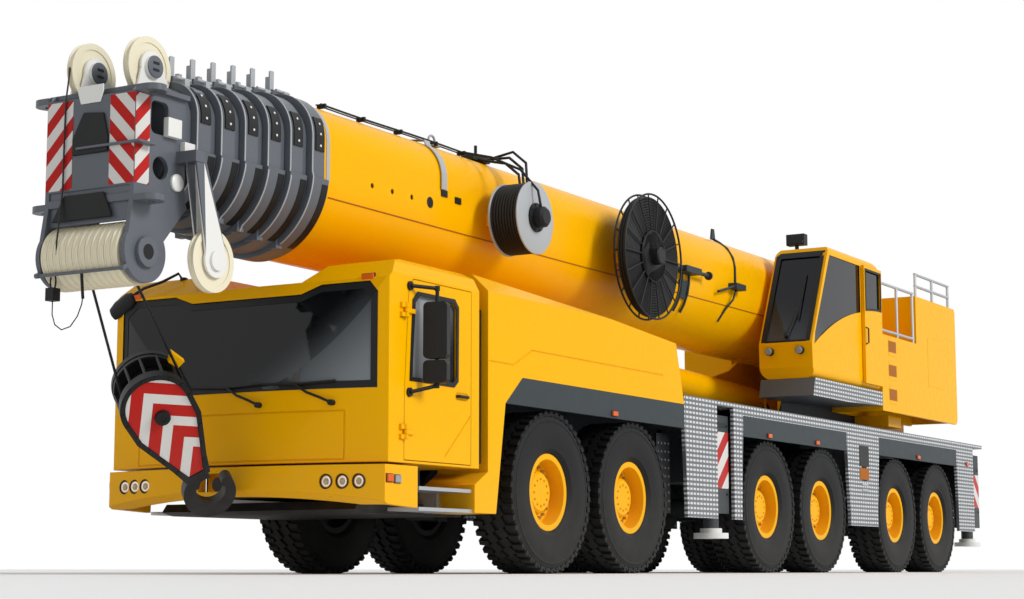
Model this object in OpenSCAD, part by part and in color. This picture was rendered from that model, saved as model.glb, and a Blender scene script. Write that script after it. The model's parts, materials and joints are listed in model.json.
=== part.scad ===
// Six-axle all-terrain mobile crane with a telescopic boom, in its road position.
// Millimetres at real size. +X is forward, +Y is left, +Z is up.
// The origin is on the floor, under the middle of the overall length.

/* [Wheels and axles] */
// Diameter of a tyre over its tread
tyre_d = 1490; // [1450:5:1520]
// Width of a tyre
tyre_w = 445; // [420:5:460]
// Width over the outer faces of the tyres
track_over = 2840; // [2820:5:2880]
// Diameter of a rim over its flange
rim_d = 710; // [680:5:740]
// Distance between the two axles of a pair
pair_gap = 1650; // [1630:5:1720]
// Distance from axle 2 to axle 3
front_gap = 3380; // [3350:5:3480]
// Distance from axle 4 to axle 5
rear_gap = 2590; // [2560:5:2700]
// Distance from axle 6 to the rear end
rear_overhang = 2030; // [2010:5:2100]
// Distance from axle 1 to the nose of the cab
front_overhang = 2950; // [2930:5:3000]
// Diameter of an axle tube
axle_d = 220; // [180:5:240]

/* [Carrier] */
// Width of the carrier over its panels
body_w = 2900; // [2880:5:2960]
// Height of the deck's top
deck_top = 1850; // [1840:5:1870]
// Height of the lower edge of the side panels
skirt_z = 580; // [540:5:640]
// Width of the main frame
frame_w = 900; // [820:10:920]
// Wall of the main frame
frame_wall = 30; // [20:1:40]
// Thickness of the side panels
panel_t = 40; // [30:1:50]
// Height of the hood's top behind the cab
hood_top = 2630; // [2590:5:2635]
// Height of the hood's top at its rear end
hood_rear_top = 2370; // [2300:5:2420]

/* [Driver's cab] */
// Height of the cab's raised roof
cab_roof = 2615; // [2600:5:2630]
// Height of the cab's floor from the ground
cab_floor = 900; // [880:5:920]
// Length of the cab
cab_len = 1600; // [1580:5:1610]
// Thickness of the cab's walls and doors
cab_wall = 60; // [50:1:70]
// Thickness of a pane
glass_t = 8; // [6:1:12]
// Gap around a door
door_gap = 6; // [6:1:10]

/* [Outriggers] */
// Distance from axle 3 forward to the front pair of legs
leg_fwd = 1250; // [1230:5:1280]
// Height of a sliding beam
leg_h = 420; // [380:10:440]
// Thickness of a sliding beam, along the vehicle
leg_t = 190; // [170:5:200]
// Diameter of a jack's rod
jack_d = 170; // [150:5:180]
// Diameter of a foot
foot_d = 380; // [320:5:390]

/* [Superstructure] */
// Diameter of the slewing ring
ring_d = 1640; // [1500:10:1700]
// Distance from the slewing axis back to the boom's pivot
pivot_back = 2500; // [2450:10:2550]
// Height of the boom's pivot
pivot_z = 3250; // [3220:5:3280]
// Distance from the slewing axis back to the tail
tail_back = 3900; // [3850:10:3950]
// Height of the rear housing
housing_top = 3770; // [3600:10:3850]
// Height of the crane cab's roof
crane_cab_roof = 4040; // [3950:10:4080]
// Diameter of the lift cylinder's barrel
barrel_d = 340; // [320:5:360]
// Diameter of the lift cylinder's rod
lift_rod_d = 220; // [200:5:240]

/* [Boom] */
// Distance from the pivot to the lower sheaves' axle
boom_len = 15050; // [15000:10:15200]
// Height of the boom's middle line
boom_z = 3365; // [3360:5:3400]
// Width of the outer section
boom_w = 1300; // [1280:5:1310]
// Height of the outer section
boom_h = 1330; // [1310:5:1335]
// How much narrower each inner section is
boom_step = 66; // [62:1:68]
// Wall of a section
boom_wall = 12; // [8:1:14]
// Distance from one section's front to the next
collar_pitch = 260; // [255:1:270]
// Length of a section's collar
collar_len = 180; // [150:5:200]
// Diameter of a rope sheave
sheave_d = 500; // [460:10:520]
// Diameter of the small cable reel
small_reel_d = 700; // [600:10:740]
// Diameter of the large hose reel
large_reel_d = 1370; // [1250:10:1400]

/* [Hidden] */
// Running clearances
fit = 0.3;
clear = 6;
// Lengthwise places, from the rear end forward
total_length = rear_overhang + pair_gap + rear_gap / 2 - pivot_back + boom_len + sheave_d / 2;
rear_x = -total_length / 2;
axle6_x = rear_x + rear_overhang;
axle5_x = axle6_x + pair_gap;
axle4_x = axle5_x + rear_gap;
axle3_x = axle4_x + pair_gap;
axle2_x = axle3_x + front_gap;
axle1_x = axle2_x + pair_gap;
nose_x = axle1_x + front_overhang;
slew_x = (axle4_x + axle5_x) / 2;
pivot_x = slew_x - pivot_back;
tail_x = slew_x - tail_back;
head_x = pivot_x + boom_len;
// Wheels
tyre_r = tyre_d / 2;
axle_z = tyre_r;
wheel_y = track_over / 2 - tyre_w / 2;
bead_r = rim_d / 2 - 38;
rim_half = tyre_w / 2 - 52;
hub_r = 190;
spindle_r = 68;
king_in = 195;
king_y = wheel_y - king_in;
king_r = 40;
steered = [axle1_x, axle2_x, axle5_x, axle6_x];
fixed = [axle3_x, axle4_x];
// Carrier
half_w = body_w / 2;
deck_t = 50;
frame_top = deck_top - deck_t;
frame_bottom = 1080;
frame_front = axle1_x + 1150;
cab_rear = nose_x - cab_len;
hood_front = cab_rear - 150;
hood_rear = axle2_x - 1100;
hood_z = 1750;
hood_wall = 30;
guard_z = 1500;
guard_in = 930;
arch_half = 780;
ring_top = deck_top + 40;
ring_t = 140;
// Driver's cab
cab_low_roof = cab_roof - 200;
cab_bend_y = 560;
cab_pod_y = 760;
sill_z = 1470;
front_arc_r = 5200;
flap_half = 1080;
corner_r = 230;
door_front = nose_x - 430;
door_rear = cab_rear + 130;
door_bottom = cab_floor + 20;
door_top = cab_roof - 190;
hinge_x = door_front;
hinge_y = half_w + 22;
hinge_z = [1150, 2150];
hinge_r = 20;
hinge_pin_r = 10;
bumper_top = 880;
bumper_z = 540;
lamp_z = 745;
lamp_r = 62;
lamp_y = [950, 1090, 1230];
hitch_y = -130;
// Outriggers
front_leg_x = axle3_x + leg_fwd;
rear_leg_x = rear_x + 270;
leg_wall = 25;
leg_web = 20;
leg_box_half = leg_t + clear * 2 + leg_web / 2 + leg_wall;
leg_z = 1000;
leg_box_top = leg_z + leg_h + clear + leg_wall;
leg_box_bottom = leg_z - leg_wall;
jack_y = half_w - 190;
jack_half = 140;
jack_top = 1700;
jack_bottom = 640;
foot_z = 370;
foot_t = 60;
// Superstructure
floor_z = ring_top + fit;
floor_t = 60;
floor_top = floor_z + floor_t;
cheek_y = boom_w / 2 + 20;
cheek_t = 50;
pin_r = 100;
barrel_x = slew_x;
barrel_z = 2200;
barrel_r = barrel_d / 2;
barrel_pin_r = 60;
barrel_half = 150;
lug_x = pivot_x + 7000;
lug_z = pivot_z - 900;
lug_gap = 150;
lug_t = 50;
lift_len = sqrt(pow(lug_x - barrel_x, 2) + pow(lug_z - barrel_z, 2));
lift_tilt = atan2(lug_z - barrel_z, lug_x - barrel_x);
crane_cab_in = 735;
crane_cab_out = half_w - 20;
crane_cab_front = slew_x + 1600;
crane_cab_rear = slew_x - 760;
crane_cab_z = 2340;
crane_wall = 50;
crane_post_x = crane_cab_rear + 660;
crane_arch_r = 4540;
crane_arch_z = 3360;
lamp_box_h = 200;
housing_in = cheek_y + cheek_t;
housing_front = crane_cab_rear - 60;
housing_z = 2100;
rail_r = 20;
rail_h = 330;
// Boom
sections = 6;
top_round = 0.3;
boom_rear = pivot_x - 350;
boom_front = head_x - 1800;
collar_t = 24;
slide_gap = 1;
post_y = 170;
reel_x = [axle1_x - 200, axle1_x - 2900];
reel_y = [800, 900];
hole_count = 3;
hole_pitch = 315;
hole_r = 24;
post_h = 195;
stop_out = 22;
head_half = 450;
jib_pin_r = 30;
ear_len = 200;
ear_t = 50;
axle_pin_r = 60;
top_sheaves = [[-115, -250, 3920], [-255, 200, 3950]];
side_sheave = [-610, 590, 2430];
head_rear = boom_front + collar_pitch * sections - 200;
head_front = head_x + 150;
head_top = boom_z + 360;
head_bottom = boom_z - 530;
sheave_z = 2430;
sheave_r = sheave_d / 2;
sheave_t = 64;
guard_at = [226, -147];
rope_r = 11;
fall_y = sheave_t * 3;
groove_r = 20;
groove_sink = 13.4;
block_half = 215;
block_tilt = 45;
block_turn = -47;
block_x = head_x - 670;
block_y = sheave_t / 2;
block_z = 1335;
block_sheave_r = 256;
fall_at = fall_y / sin(-block_turn);
// Colours
yellow = [0.96, 0.71, 0.03];
grey = [0.33, 0.35, 0.38];
dark = [0.17, 0.19, 0.2];
black = [0.06, 0.06, 0.065];
rubber = [0.09, 0.09, 0.1];
plate = [0.72, 0.73, 0.74];
pane = [0.08, 0.1, 0.13, 0.6];
nylon = [0.92, 0.88, 0.74];
steel = [0.6, 0.61, 0.62];

// Which node to draw

// Helpers

module box(x0, x1, y0, y1, z0, z1) {
  translate([x0, y0, z0]) cube([x1 - x0, y1 - y0, z1 - z0]);
}

// A cylinder along Y
module rod_y(x, z, r, y0, y1) {
  translate([x, y1, z]) rotate([90, 0, 0]) cylinder(r = r, h = y1 - y0);
}

// A cylinder along X
module rod_x(y, z, r, x0, x1) {
  translate([x0, y, z]) rotate([0, 90, 0]) cylinder(r = r, h = x1 - x0);
}

// A cylinder along Z
module rod_z(x, y, r, z0, z1) {
  translate([x, y, z0]) cylinder(r = r, h = z1 - z0);
}

// An X-Z outline made into a plate from y0 to y1
module side_plate(y0, y1) {
  translate([0, y1, 0]) rotate([90, 0, 0]) linear_extrude(y1 - y0) children();
}

// A Y-Z outline made into a bar from x0 to x1
module front_plate(x0, x1) {
  translate([x0, 0, 0]) rotate([90, 0, 90]) linear_extrude(x1 - x0) children();
}

// The same on the right as on the left
module both() {
  children();
  mirror([0, 1, 0]) children();
}

// A rectangle with round corners, centred
module round_rect(w, h, r) {
  square([w - 2 * r, h], center = true);
  square([w, h - 2 * r], center = true);
  for (sx = [-1, 1]) {
    for (sy = [-1, 1]) {
      translate([sx * (w / 2 - r), sy * (h / 2 - r)]) circle(r);
    }
  }
}

// A straight strip of the given width between two points
module strip(p, q, w) {
  d = q - p;
  translate(p) rotate(atan2(d[1], d[0])) translate([0, -w / 2]) square([norm(d), w]);
}

// A round bar between two points
module bar(p, q, r) {
  d = q - p;
  translate(p) rotate([0, acos(d[2] / norm(d)), atan2(d[1], d[0])]) cylinder(r = r, h = norm(d));
}

module on_side(side) {
  if (side > 0) {
    children();
  } else {
    mirror([0, 1, 0]) children();
  }
}

// Wheels and axles

module tyre_outline() {
  side_arc = 520;
  side_mid = (tyre_r + bead_r) / 2;
  shoulder = 70;
  difference() {
    intersection() {
      translate([side_mid, side_arc - tyre_w / 2]) circle(side_arc);
      translate([side_mid, tyre_w / 2 - side_arc]) circle(side_arc);
      polygon([
        [bead_r + fit, -tyre_w / 2], [tyre_r - shoulder, -tyre_w / 2], [tyre_r, shoulder - tyre_w / 2],
        [tyre_r, tyre_w / 2 - shoulder], [tyre_r - shoulder, tyre_w / 2], [bead_r + fit, tyre_w / 2]
      ]);
    }
    for (s = [-1, 1]) {
      translate([0, s * (rim_half - 16 + tyre_w / 2)]) square([rim_d + 2 * fit, tyre_w], center = true);
    }
  }
}

module rim_outline() {
  barrel_t = 16;
  flange_t = 14;
  disc_y = 20;
  disc_t = 26;
  hub_out = 95;
  translate([bead_r - barrel_t, -rim_half]) square([barrel_t, rim_half * 2]);
  for (s = [-1, 1]) {
    translate([bead_r - barrel_t, s * (rim_half - flange_t / 2) - flange_t / 2])
      square([rim_d / 2 - bead_r + barrel_t, flange_t]);
  }
  translate([spindle_r + fit, disc_y - disc_t]) square([bead_r - spindle_r - fit - barrel_t / 2, disc_t]);
  polygon([
    [spindle_r + fit, disc_y - 70], [hub_r - 40, disc_y - 70], [hub_r, disc_y - 30], [hub_r, hub_out - 20],
    [hub_r - 20, hub_out], [spindle_r + fit, hub_out]
  ]);
  translate([0, hub_out - 22]) square([hub_r - 40, 22]);
}

module wheel() {
  rotate([-90, 0, 0]) {
    rotate_extrude() tyre_outline();
    rotate_extrude() rim_outline();
  }
}

module place_wheel(x, side) {
  color(rubber) on_side(side) translate([x, wheel_y, axle_z]) wheel();
}

// A steering knuckle with its spindle, on the left
module knuckle() {
  boss_r = 82;
  boss_half = 160;
  drum_r = 205;
  difference() {
    union() {
      rod_z(0, 0, boss_r, -boss_half, boss_half);
      rod_y(0, 0, spindle_r, 0, king_in + 60);
      rod_y(0, 0, drum_r, king_in - 100, king_in - 62);
      rod_y(0, 0, 120, 0, king_in - 62);
    }
    rod_z(0, 0, king_r + fit, -boss_half - 1, boss_half + 1);
  }
}

module place_knuckle(x, side) {
  color(dark) on_side(side) translate([x, king_y, axle_z]) knuckle();
}

module axle_beam(x, steers) {
  ear_r = 88;
  ear_z = 168;
  ear_t = 40;
  tube_end = steers ? king_y - 125 : wheel_y - 62;
  strut_y = frame_w / 2 + 75;
  translate([x, 0, axle_z]) {
    rod_y(0, 0, axle_d / 2, -tube_end, tube_end);
    rod_y(0, 0, 240, -150, 150);
    both() {
      rod_z(0, strut_y, 62, 0, 640);
      box(-90, 90, frame_w / 2, strut_y + 75, 560, 700);
      if (steers) {
        box(-ear_r, ear_r, king_y - 170, king_y - 105, -ear_z - ear_t, ear_z + ear_t);
        for (s = [-1, 1]) {
          translate([0, 0, s * (ear_z + ear_t / 2)]) {
            rod_z(0, king_y, ear_r, -ear_t / 2, ear_t / 2);
            box(-ear_r, ear_r, king_y - 170, king_y, -ear_t / 2, ear_t / 2);
          }
        }
        rod_z(0, king_y, king_r, -ear_z - ear_t, ear_z + ear_t);
      } else {
        rod_y(0, 0, spindle_r, 0, wheel_y + 60);
        rod_y(0, 0, 205, wheel_y - 100, wheel_y - 62);
      }
    }
  }
}

module axle_beams() {
  color(dark) {
    for (x = steered) {
      axle_beam(x, true);
    }
    for (x = fixed) {
      axle_beam(x, false);
    }
  }
}

// Carrier

module leg_tunnels(x) {
  for (s = [-1, 1]) {
    near = s * leg_web / 2;
    far = s * (leg_web / 2 + leg_t + clear * 2);
    box(x + min(near, far), x + max(near, far), -half_w, half_w, leg_z, leg_z + leg_h + clear);
  }
}

module chassis_frame() {
  box_end = half_w - 370;
  color(dark) difference() {
    union() {
      box(rear_x, frame_front, -frame_w / 2, frame_w / 2, frame_bottom, frame_top);
      box(frame_front - 400, nose_x - 650, -frame_w / 2, frame_w / 2, 640, cab_floor);
      box(nose_x - 651, nose_x - 260, -frame_w / 2, frame_w / 2, 640, bumper_top - 30);
      box(frame_front - 400, frame_front, -frame_w / 2, frame_w / 2, 640, frame_bottom);
      for (x = [front_leg_x, rear_leg_x]) {
        box(x - leg_box_half, x + leg_box_half, -box_end, box_end, leg_box_bottom, leg_box_top);
      }
      rod_z(slew_x, 0, ring_d / 2, frame_top - 1, ring_top);
      box(slew_x - 560, slew_x + 560, -ring_d / 2, ring_d / 2, frame_bottom + 200, frame_top);
    }
    box(rear_x - 1, frame_front - frame_wall, -frame_w / 2 + frame_wall, frame_w / 2 - frame_wall,
      frame_bottom + frame_wall, frame_top - frame_wall);
    rod_z(slew_x, 0, ring_d / 2 - ring_t, frame_top - frame_wall - 1, ring_top + 1);
    for (s = [-1, 1]) {
      translate([0, s * (frame_w / 2 + 190), 0])
        box(slew_x - 530, slew_x + 530, -160, 160, frame_bottom + 199, frame_top - frame_wall);
    }
    leg_tunnels(front_leg_x);
    leg_tunnels(rear_leg_x);
  }
}

module engine_block() {
  color(dark) {
    box(axle2_x - 300, axle1_x + 400, -420, 420, frame_top, frame_top + 420);
    box(axle2_x - 700, axle2_x - 300, -320, 320, frame_top, frame_top + 300);
  }
}

// The cab's plan, side and front outlines, each drawn in by the wall's thickness
module cab_plan(inset) {
  front = nose_x - inset;
  back = cab_rear + inset;
  intersection() {
    translate([(front + back) / 2, 0]) round_rect(front - back, body_w - 2 * inset, corner_r - inset);
    translate([front - front_arc_r, 0]) circle(front_arc_r);
  }
  translate([back, -half_w + inset]) square([corner_r, body_w - 2 * inset]);
}

module cab_side(inset) {
  front = nose_x - inset;
  roof = cab_roof - inset;
  polygon([
    [cab_rear + inset, cab_floor + inset], [front + 1, cab_floor + inset], [front + 1, sill_z],
    [front - 200, roof - 210], [front - 380, roof - 50], [front - 620, roof], [cab_rear + inset, roof]
  ]);
}

module cab_front(inset) {
  side = half_w - inset;
  roof = cab_roof - inset;
  low = cab_low_roof - inset;
  polygon([
    [-side, cab_floor], [side, cab_floor], [side, roof - 170], [side - 60, roof - 60], [side - 190, roof],
    [cab_pod_y, roof], [cab_bend_y, low], [-cab_bend_y, low], [-cab_pod_y, roof],
    [-side + 190, roof], [-side + 60, roof - 60], [-side, roof - 170]
  ]);
}

module cab_form(inset) {
  intersection() {
    translate([0, 0, cab_floor]) linear_extrude(cab_roof - cab_floor) cab_plan(inset);
    side_plate(-half_w, half_w) cab_side(inset);
    front_plate(cab_rear, nose_x) cab_front(inset);
  }
}

module cab_walls() {
  difference() {
    cab_form(0);
    cab_form(cab_wall);
  }
}

module screen_outline(inset) {
  edge = half_w - 95 - inset;
  low = sill_z + 30 + inset;
  top = cab_roof - 235 - inset;
  mid = cab_low_roof - 105 - inset;
  polygon([
    [-edge, low], [edge, low], [edge, top - 90], [edge - 90, top], [cab_pod_y + 20, top],
    [cab_bend_y + 20, mid], [-cab_bend_y - 20, mid], [-cab_pod_y - 20, top], [-edge + 90, top],
    [-edge, top - 90]
  ]);
}

module screen_cut(inset) {
  front_plate(nose_x - 480, nose_x + 10) screen_outline(inset);
}

module rear_window_cut(inset) {
  box(cab_rear - 10, cab_rear + 200, -500 + inset, 500 - inset, 1600 + inset, 2150 - inset);
}

module door_outline(inset) {
  polygon([
    [door_rear + inset, door_bottom + inset], [door_front - inset, door_bottom + inset],
    [door_front - inset, sill_z], [door_front - 60 - inset, door_top - 60],
    [door_front - 130 - inset, door_top - inset], [door_rear + inset, door_top - inset]
  ]);
}

module window_outline() {
  polygon([
    [door_rear + 230, 1640], [door_rear + 290, 1590], [door_front - 90, 1590], [door_front - 130, 2240],
    [door_front - 200, 2310], [door_rear + 290, 2310], [door_rear + 230, 2250]
  ]);
}

// Two hinges on the cab's side: the pin and outer eyes stay on the shell, the middle eye on the door
module shell_hinges() {
  for (z = hinge_z) {
    rod_z(hinge_x, hinge_y, hinge_pin_r, z - 60, z + 60);
    for (s = [-1, 1]) {
      rod_z(hinge_x, hinge_y, hinge_r, z + s * 40 - 20, z + s * 40 + 20);
      box(hinge_x + 1, hinge_x + 70, half_w - 1, hinge_y, z + s * 40 - 20, z + s * 40 + 20);
    }
  }
}

module door_hinges() {
  for (z = hinge_z) {
    rod_z(hinge_x, hinge_y, hinge_r, z - 19, z + 19);
    box(hinge_x - 130, hinge_x - 8, half_w + 2, hinge_y, z - 19, z + 19);
    box(hinge_x - 130, hinge_x - 70, half_w - 1, half_w + 3, z - 19, z + 19);
  }
}

module cab_shell() {
  color(yellow) both() shell_hinges();
  color(yellow) difference() {
    cab_walls();
    screen_cut(0);
    rear_window_cut(0);
    both() side_plate(half_w - cab_wall - door_gap, half_w + 10) door_outline(0);
    front_seams();
  }
}

// Seams of the flap under the windscreen, cut into the skin
module front_seams() {
  intersection() {
    difference() {
      cab_form(-1);
      cab_form(6);
    }
    front_plate(nose_x - 320, nose_x + 10) {
      for (z = [cab_floor + 25, sill_z - 150]) {
        strip([-flap_half, z], [flap_half, z], 10);
      }
      for (y = [-flap_half, flap_half]) {
        strip([y, cab_floor + 25], [y, sill_z - 150], 10);
      }
    }
  }
}

module cab_glass() {
  color(pane) intersection() {
    difference() {
      cab_form(12);
      cab_form(12 + glass_t);
    }
    union() {
      screen_cut(0);
      rear_window_cut(0);
    }
  }
}

module seat(x, y, z) {
  translate([x, y, z]) {
    box(-220, 240, -240, 240, 360, 480);
    box(-150, 150, -150, 150, 0, 360);
    side_plate(-230, 230) polygon([[-260, 440], [-130, 440], [-240, 1080], [-370, 1080]]);
  }
}

module cab_interior() {
  floor = cab_floor + cab_wall;
  color(black) {
    both() seat(cab_rear + 600, 820, floor);
    box(nose_x - 620, nose_x - 480, -1150, 1150, floor, 1400);
    box(nose_x - 700, nose_x - 480, -1150, 1150, 1300, 1440);
    translate([nose_x - 760, 820, 1430]) rotate([0, -65, 0]) difference() {
      cylinder(r = 230, h = 34);
      translate([0, 0, -1]) cylinder(r = 196, h = 36);
    }
    translate([nose_x - 760, 820, 1430]) rotate([0, -65, 0]) {
      box(-205, 205, -25, 25, 6, 28);
    }
    translate([nose_x - 760, 820, 1430]) rotate([0, 25, 0]) box(0, 140, -30, 30, -25, 25);
  }
}

module front_bumper() {
  out = 45;
  back = nose_x - 640;
  lamp_x = nose_x + out - 30;
  color(yellow) {
    difference() {
      bumper_form(out, back);
      intersection() {
        box(back - 1, nose_x - 60, -half_w + 60, half_w - 60, bumper_z - 1, bumper_top - 30);
        translate([nose_x - 60 - front_arc_r, 0, 0]) cylinder(r = front_arc_r, h = bumper_top);
      }
      box(nose_x - 200, nose_x + 100, hitch_y - 170, hitch_y + 170, bumper_z + 140, bumper_top - 50);
      both() {
        for (y = lamp_y) {
          rod_x(y, lamp_z, lamp_r, bumper_face(y, out) - 40, nose_x + 100);
        }
      }
    }
    box(nose_x - 260, nose_x - 220, -400, 400, 660, bumper_top - 29);
    box(nose_x - 221, nose_x - 120, hitch_y - 60, hitch_y + 60, 690, 790);
    both() {
      for (y = lamp_y) {
        rod_x(y, lamp_z, lamp_r - 8, bumper_face(y, out) - 60, bumper_face(y, out) - 12);
      }
    }
  }
}

// Where the bumper's curved face lies at distance y from the middle
function bumper_face(y, out) = nose_x + out - front_arc_r + sqrt(pow(front_arc_r, 2) - pow(y, 2));

module bumper_form(out, back) {
  intersection() {
    box(back, nose_x + out, -half_w, half_w, bumper_z, bumper_top);
    translate([0, 0, bumper_z - 1]) linear_extrude(bumper_top) intersection() {
      translate([nose_x + out - 1000, 0]) round_rect(2000, body_w, corner_r - 50);
      translate([nose_x + out - front_arc_r, 0]) circle(front_arc_r);
    }
    side_plate(-half_w, half_w) polygon([
      [back, bumper_z], [nose_x - 200, bumper_z + 20], [nose_x + out, bumper_z + 150],
      [nose_x + out, bumper_top], [back, bumper_top]
    ]);
  }
}

module hood_side(inset) {
  polygon([
    [hood_front - inset, hood_top - inset], [hood_front - inset, hood_z - inset],
    [hood_rear + inset, hood_z - inset], [hood_rear + 180 + inset, hood_rear_top - inset]
  ]);
}

module hood_front_view(inset) {
  side = half_w - inset;
  top = hood_top - inset;
  polygon([
    [-side, hood_z - 100], [side, hood_z - 100], [side, top - 160], [side - 170, top], [cab_pod_y, top],
    [cab_bend_y, top - 200], [-cab_bend_y, top - 200], [-cab_pod_y, top], [-side + 170, top], [-side, top - 160]
  ]);
}

module engine_hood() {
  color(yellow) {
    difference() {
      intersection() {
        side_plate(-half_w, half_w) hood_side(0);
        front_plate(hood_rear, hood_front) hood_front_view(0);
      }
      intersection() {
        side_plate(-half_w, half_w) hood_side(hood_wall);
        front_plate(hood_rear, hood_front) hood_front_view(hood_wall);
      }
      both() side_plate(half_w - 6, half_w + 1) {
        strip([hood_front - 20, 1850], [hood_front - 430, 1850], 14);
        strip([hood_front - 425, 1850], [hood_front - 760, 2010], 14);
        strip([hood_front - 755, 2010], [hood_rear + 500, 2010], 14);
      }
      box(hood_rear - 1, frame_front, -frame_w / 2, frame_w / 2, hood_z - 101, frame_top);
      for (i = [0 : 5]) {
        box(hood_front - 3200 + i * 90, hood_front - 3150 + i * 90, -cab_bend_y + 90, cab_bend_y - 90,
          hood_z + 200, hood_top);
      }
    }
    both() side_plate(guard_in, half_w) polygon([
      [hood_front, hood_z + 1], [hood_front, cab_floor - 20], [axle1_x + 1420, bumper_top - 120],
      [axle1_x + 1420, 520], [axle1_x + 1060, 520], [axle1_x + 900, guard_z], [axle1_x + 600, hood_z]
    ]);
    both() box(axle1_x + 950, hood_front, frame_w / 2, guard_in, frame_bottom + 100, frame_bottom + 160);
  }
}

// A band over wheels, with a shelf that joins it to the frame
module guard_band(x0, x1, z0, z1, slope0, slope1) {
  side_plate(half_w - panel_t, half_w) polygon([
    [x0, z0], [x1, z0], [x1 - slope1, z1], [x0 + slope0, z1]
  ]);
  box(x0 + slope0, x1 - slope1, frame_w / 2, half_w - 1, z1 - 40, z1);
}

module mudguards() {
  band = frame_top - 70;
  color(dark) both() {
    guard_band(hood_rear, axle1_x + 900, guard_z, hood_z, 0, 300);
    guard_band(axle4_x - arch_half + 60, axle3_x + arch_half, guard_z, band, 0, 0);
    guard_band(axle6_x - arch_half, axle5_x + arch_half - 60, guard_z, band, 0, 0);
  }
}

// A side panel, hung just under the deck
module skirt(x0, x1, cut0, cut1) {
  top = frame_top - fit;
  side_plate(half_w - panel_t, half_w) polygon([
    [x0 + cut0, skirt_z], [x1 - cut1, skirt_z], [x1 - cut1, skirt_z + 160], [x1, guard_z + 100],
    [x1, top], [x0, top], [x0, guard_z + 100], [x0 + cut0, skirt_z + 160]
  ]);
}

module side_skirts() {
  slot = leg_box_half - 20;
  band = frame_top - 70;
  color(plate) difference() {
    union() {
      box(rear_leg_x - leg_box_half + 10, hood_rear, -half_w, half_w, frame_top, deck_top);
      both() {
        skirt(front_leg_x + slot, hood_rear, 0, 60);
        skirt(axle3_x + arch_half, front_leg_x - slot, 50, 0);
        difference() {
          skirt(axle5_x + arch_half - 60, axle4_x - arch_half + 60, 90, 90);
          box(slew_x - 110, slew_x + 70, half_w - panel_t - 1, half_w + 1, 1150, 1580);
        }
        skirt(rear_leg_x + slot, axle6_x - arch_half, 0, 50);
        box(axle4_x - arch_half, axle3_x + arch_half, half_w - panel_t, half_w, band, frame_top - fit);
        box(axle6_x - arch_half, axle5_x + arch_half, half_w - panel_t, half_w, band, frame_top - fit);
        box(axle1_x + 1440, axle1_x + 2260, half_w - 330, half_w - 20, 690, 720);
        box(axle1_x + 1420, axle1_x + 2260, half_w - 330, half_w - 20, 520, 550);
        box(axle1_x + 1500, axle1_x + 1560, frame_w / 2, half_w - 300, 520, 720);
        box(slew_x - 120, slew_x + 80, half_w - panel_t - 240, half_w - panel_t, 1140, 1200);
      }
    }
    rod_z(slew_x, 0, ring_d / 2 + 5, frame_top - 1, deck_top + 1);
  }
}

module cab_door(side) {
  color(yellow) on_side(side) difference() {
    union() {
      intersection() {
        cab_walls();
        side_plate(half_w - cab_wall, half_w + 10) door_outline(door_gap);
      }
      door_hinges();
    }
    for (z = hinge_z) {
      rod_z(hinge_x, hinge_y, hinge_pin_r + fit, z - 20, z + 20);
    }
    side_plate(half_w - cab_wall - 10, half_w + 20) window_outline();
    side_plate(half_w - 6, half_w + 1) {
      strip([door_rear + 20, 1340], [door_rear + 420, door_bottom + 60], 14);
      translate([door_rear + 150, 1500]) round_rect(200, 60, 25);
    }
  }
}

module mirror_set(side) {
  x = door_front - 250;
  y = half_w + 150;
  arm_r = 16;
  foot_x = door_front - 70;
  low = 1540;
  high = door_top - 75;
  color(black) on_side(side) {
    for (m = [[2000, 470], [1655, 190]]) {
      translate([x, y, m[0]]) rotate([0, 0, 12]) {
        front_plate(-45, 35) round_rect(210, m[1], 40);
      }
    }
    rod_z(x - 10, y, arm_r, low, high);
    for (end = [[low, low - 60], [high, high + 10]]) {
      bar([x - 10, y, end[0]], [foot_x, half_w + 17, end[1]], arm_r);
      rod_z(x - 10, y, arm_r + 6, end[0] - 20, end[0] + 20);
      rod_y(foot_x, end[1], 38, half_w, half_w + 18);
    }
  }
}

// Outriggers

module leg_beam(x, side) {
  near = side * leg_web / 2 + side * clear;
  far = near + side * leg_t;
  end = jack_y - jack_half;
  color(yellow) on_side(side) difference() {
    union() {
      box(x + min(near, far), x + max(near, far), 40 - end, end + 1, leg_z + fit, leg_z + leg_h);
      box(x - 170, x + 170, end, jack_y + jack_half, jack_bottom, jack_top);
    }
    rod_z(x, jack_y, jack_d / 2 + fit, jack_bottom - 1, jack_top - 60);
  }
}

module leg_jack(x, side) {
  color(steel) on_side(side) {
    rod_z(x, jack_y, jack_d / 2, foot_z, jack_top - 160);
    rod_z(x, jack_y, foot_d / 2, foot_z, foot_z + foot_t);
    rod_z(x, jack_y, foot_d / 2 - 70, foot_z + foot_t, foot_z + foot_t + 50);
  }
}

// Superstructure

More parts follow.
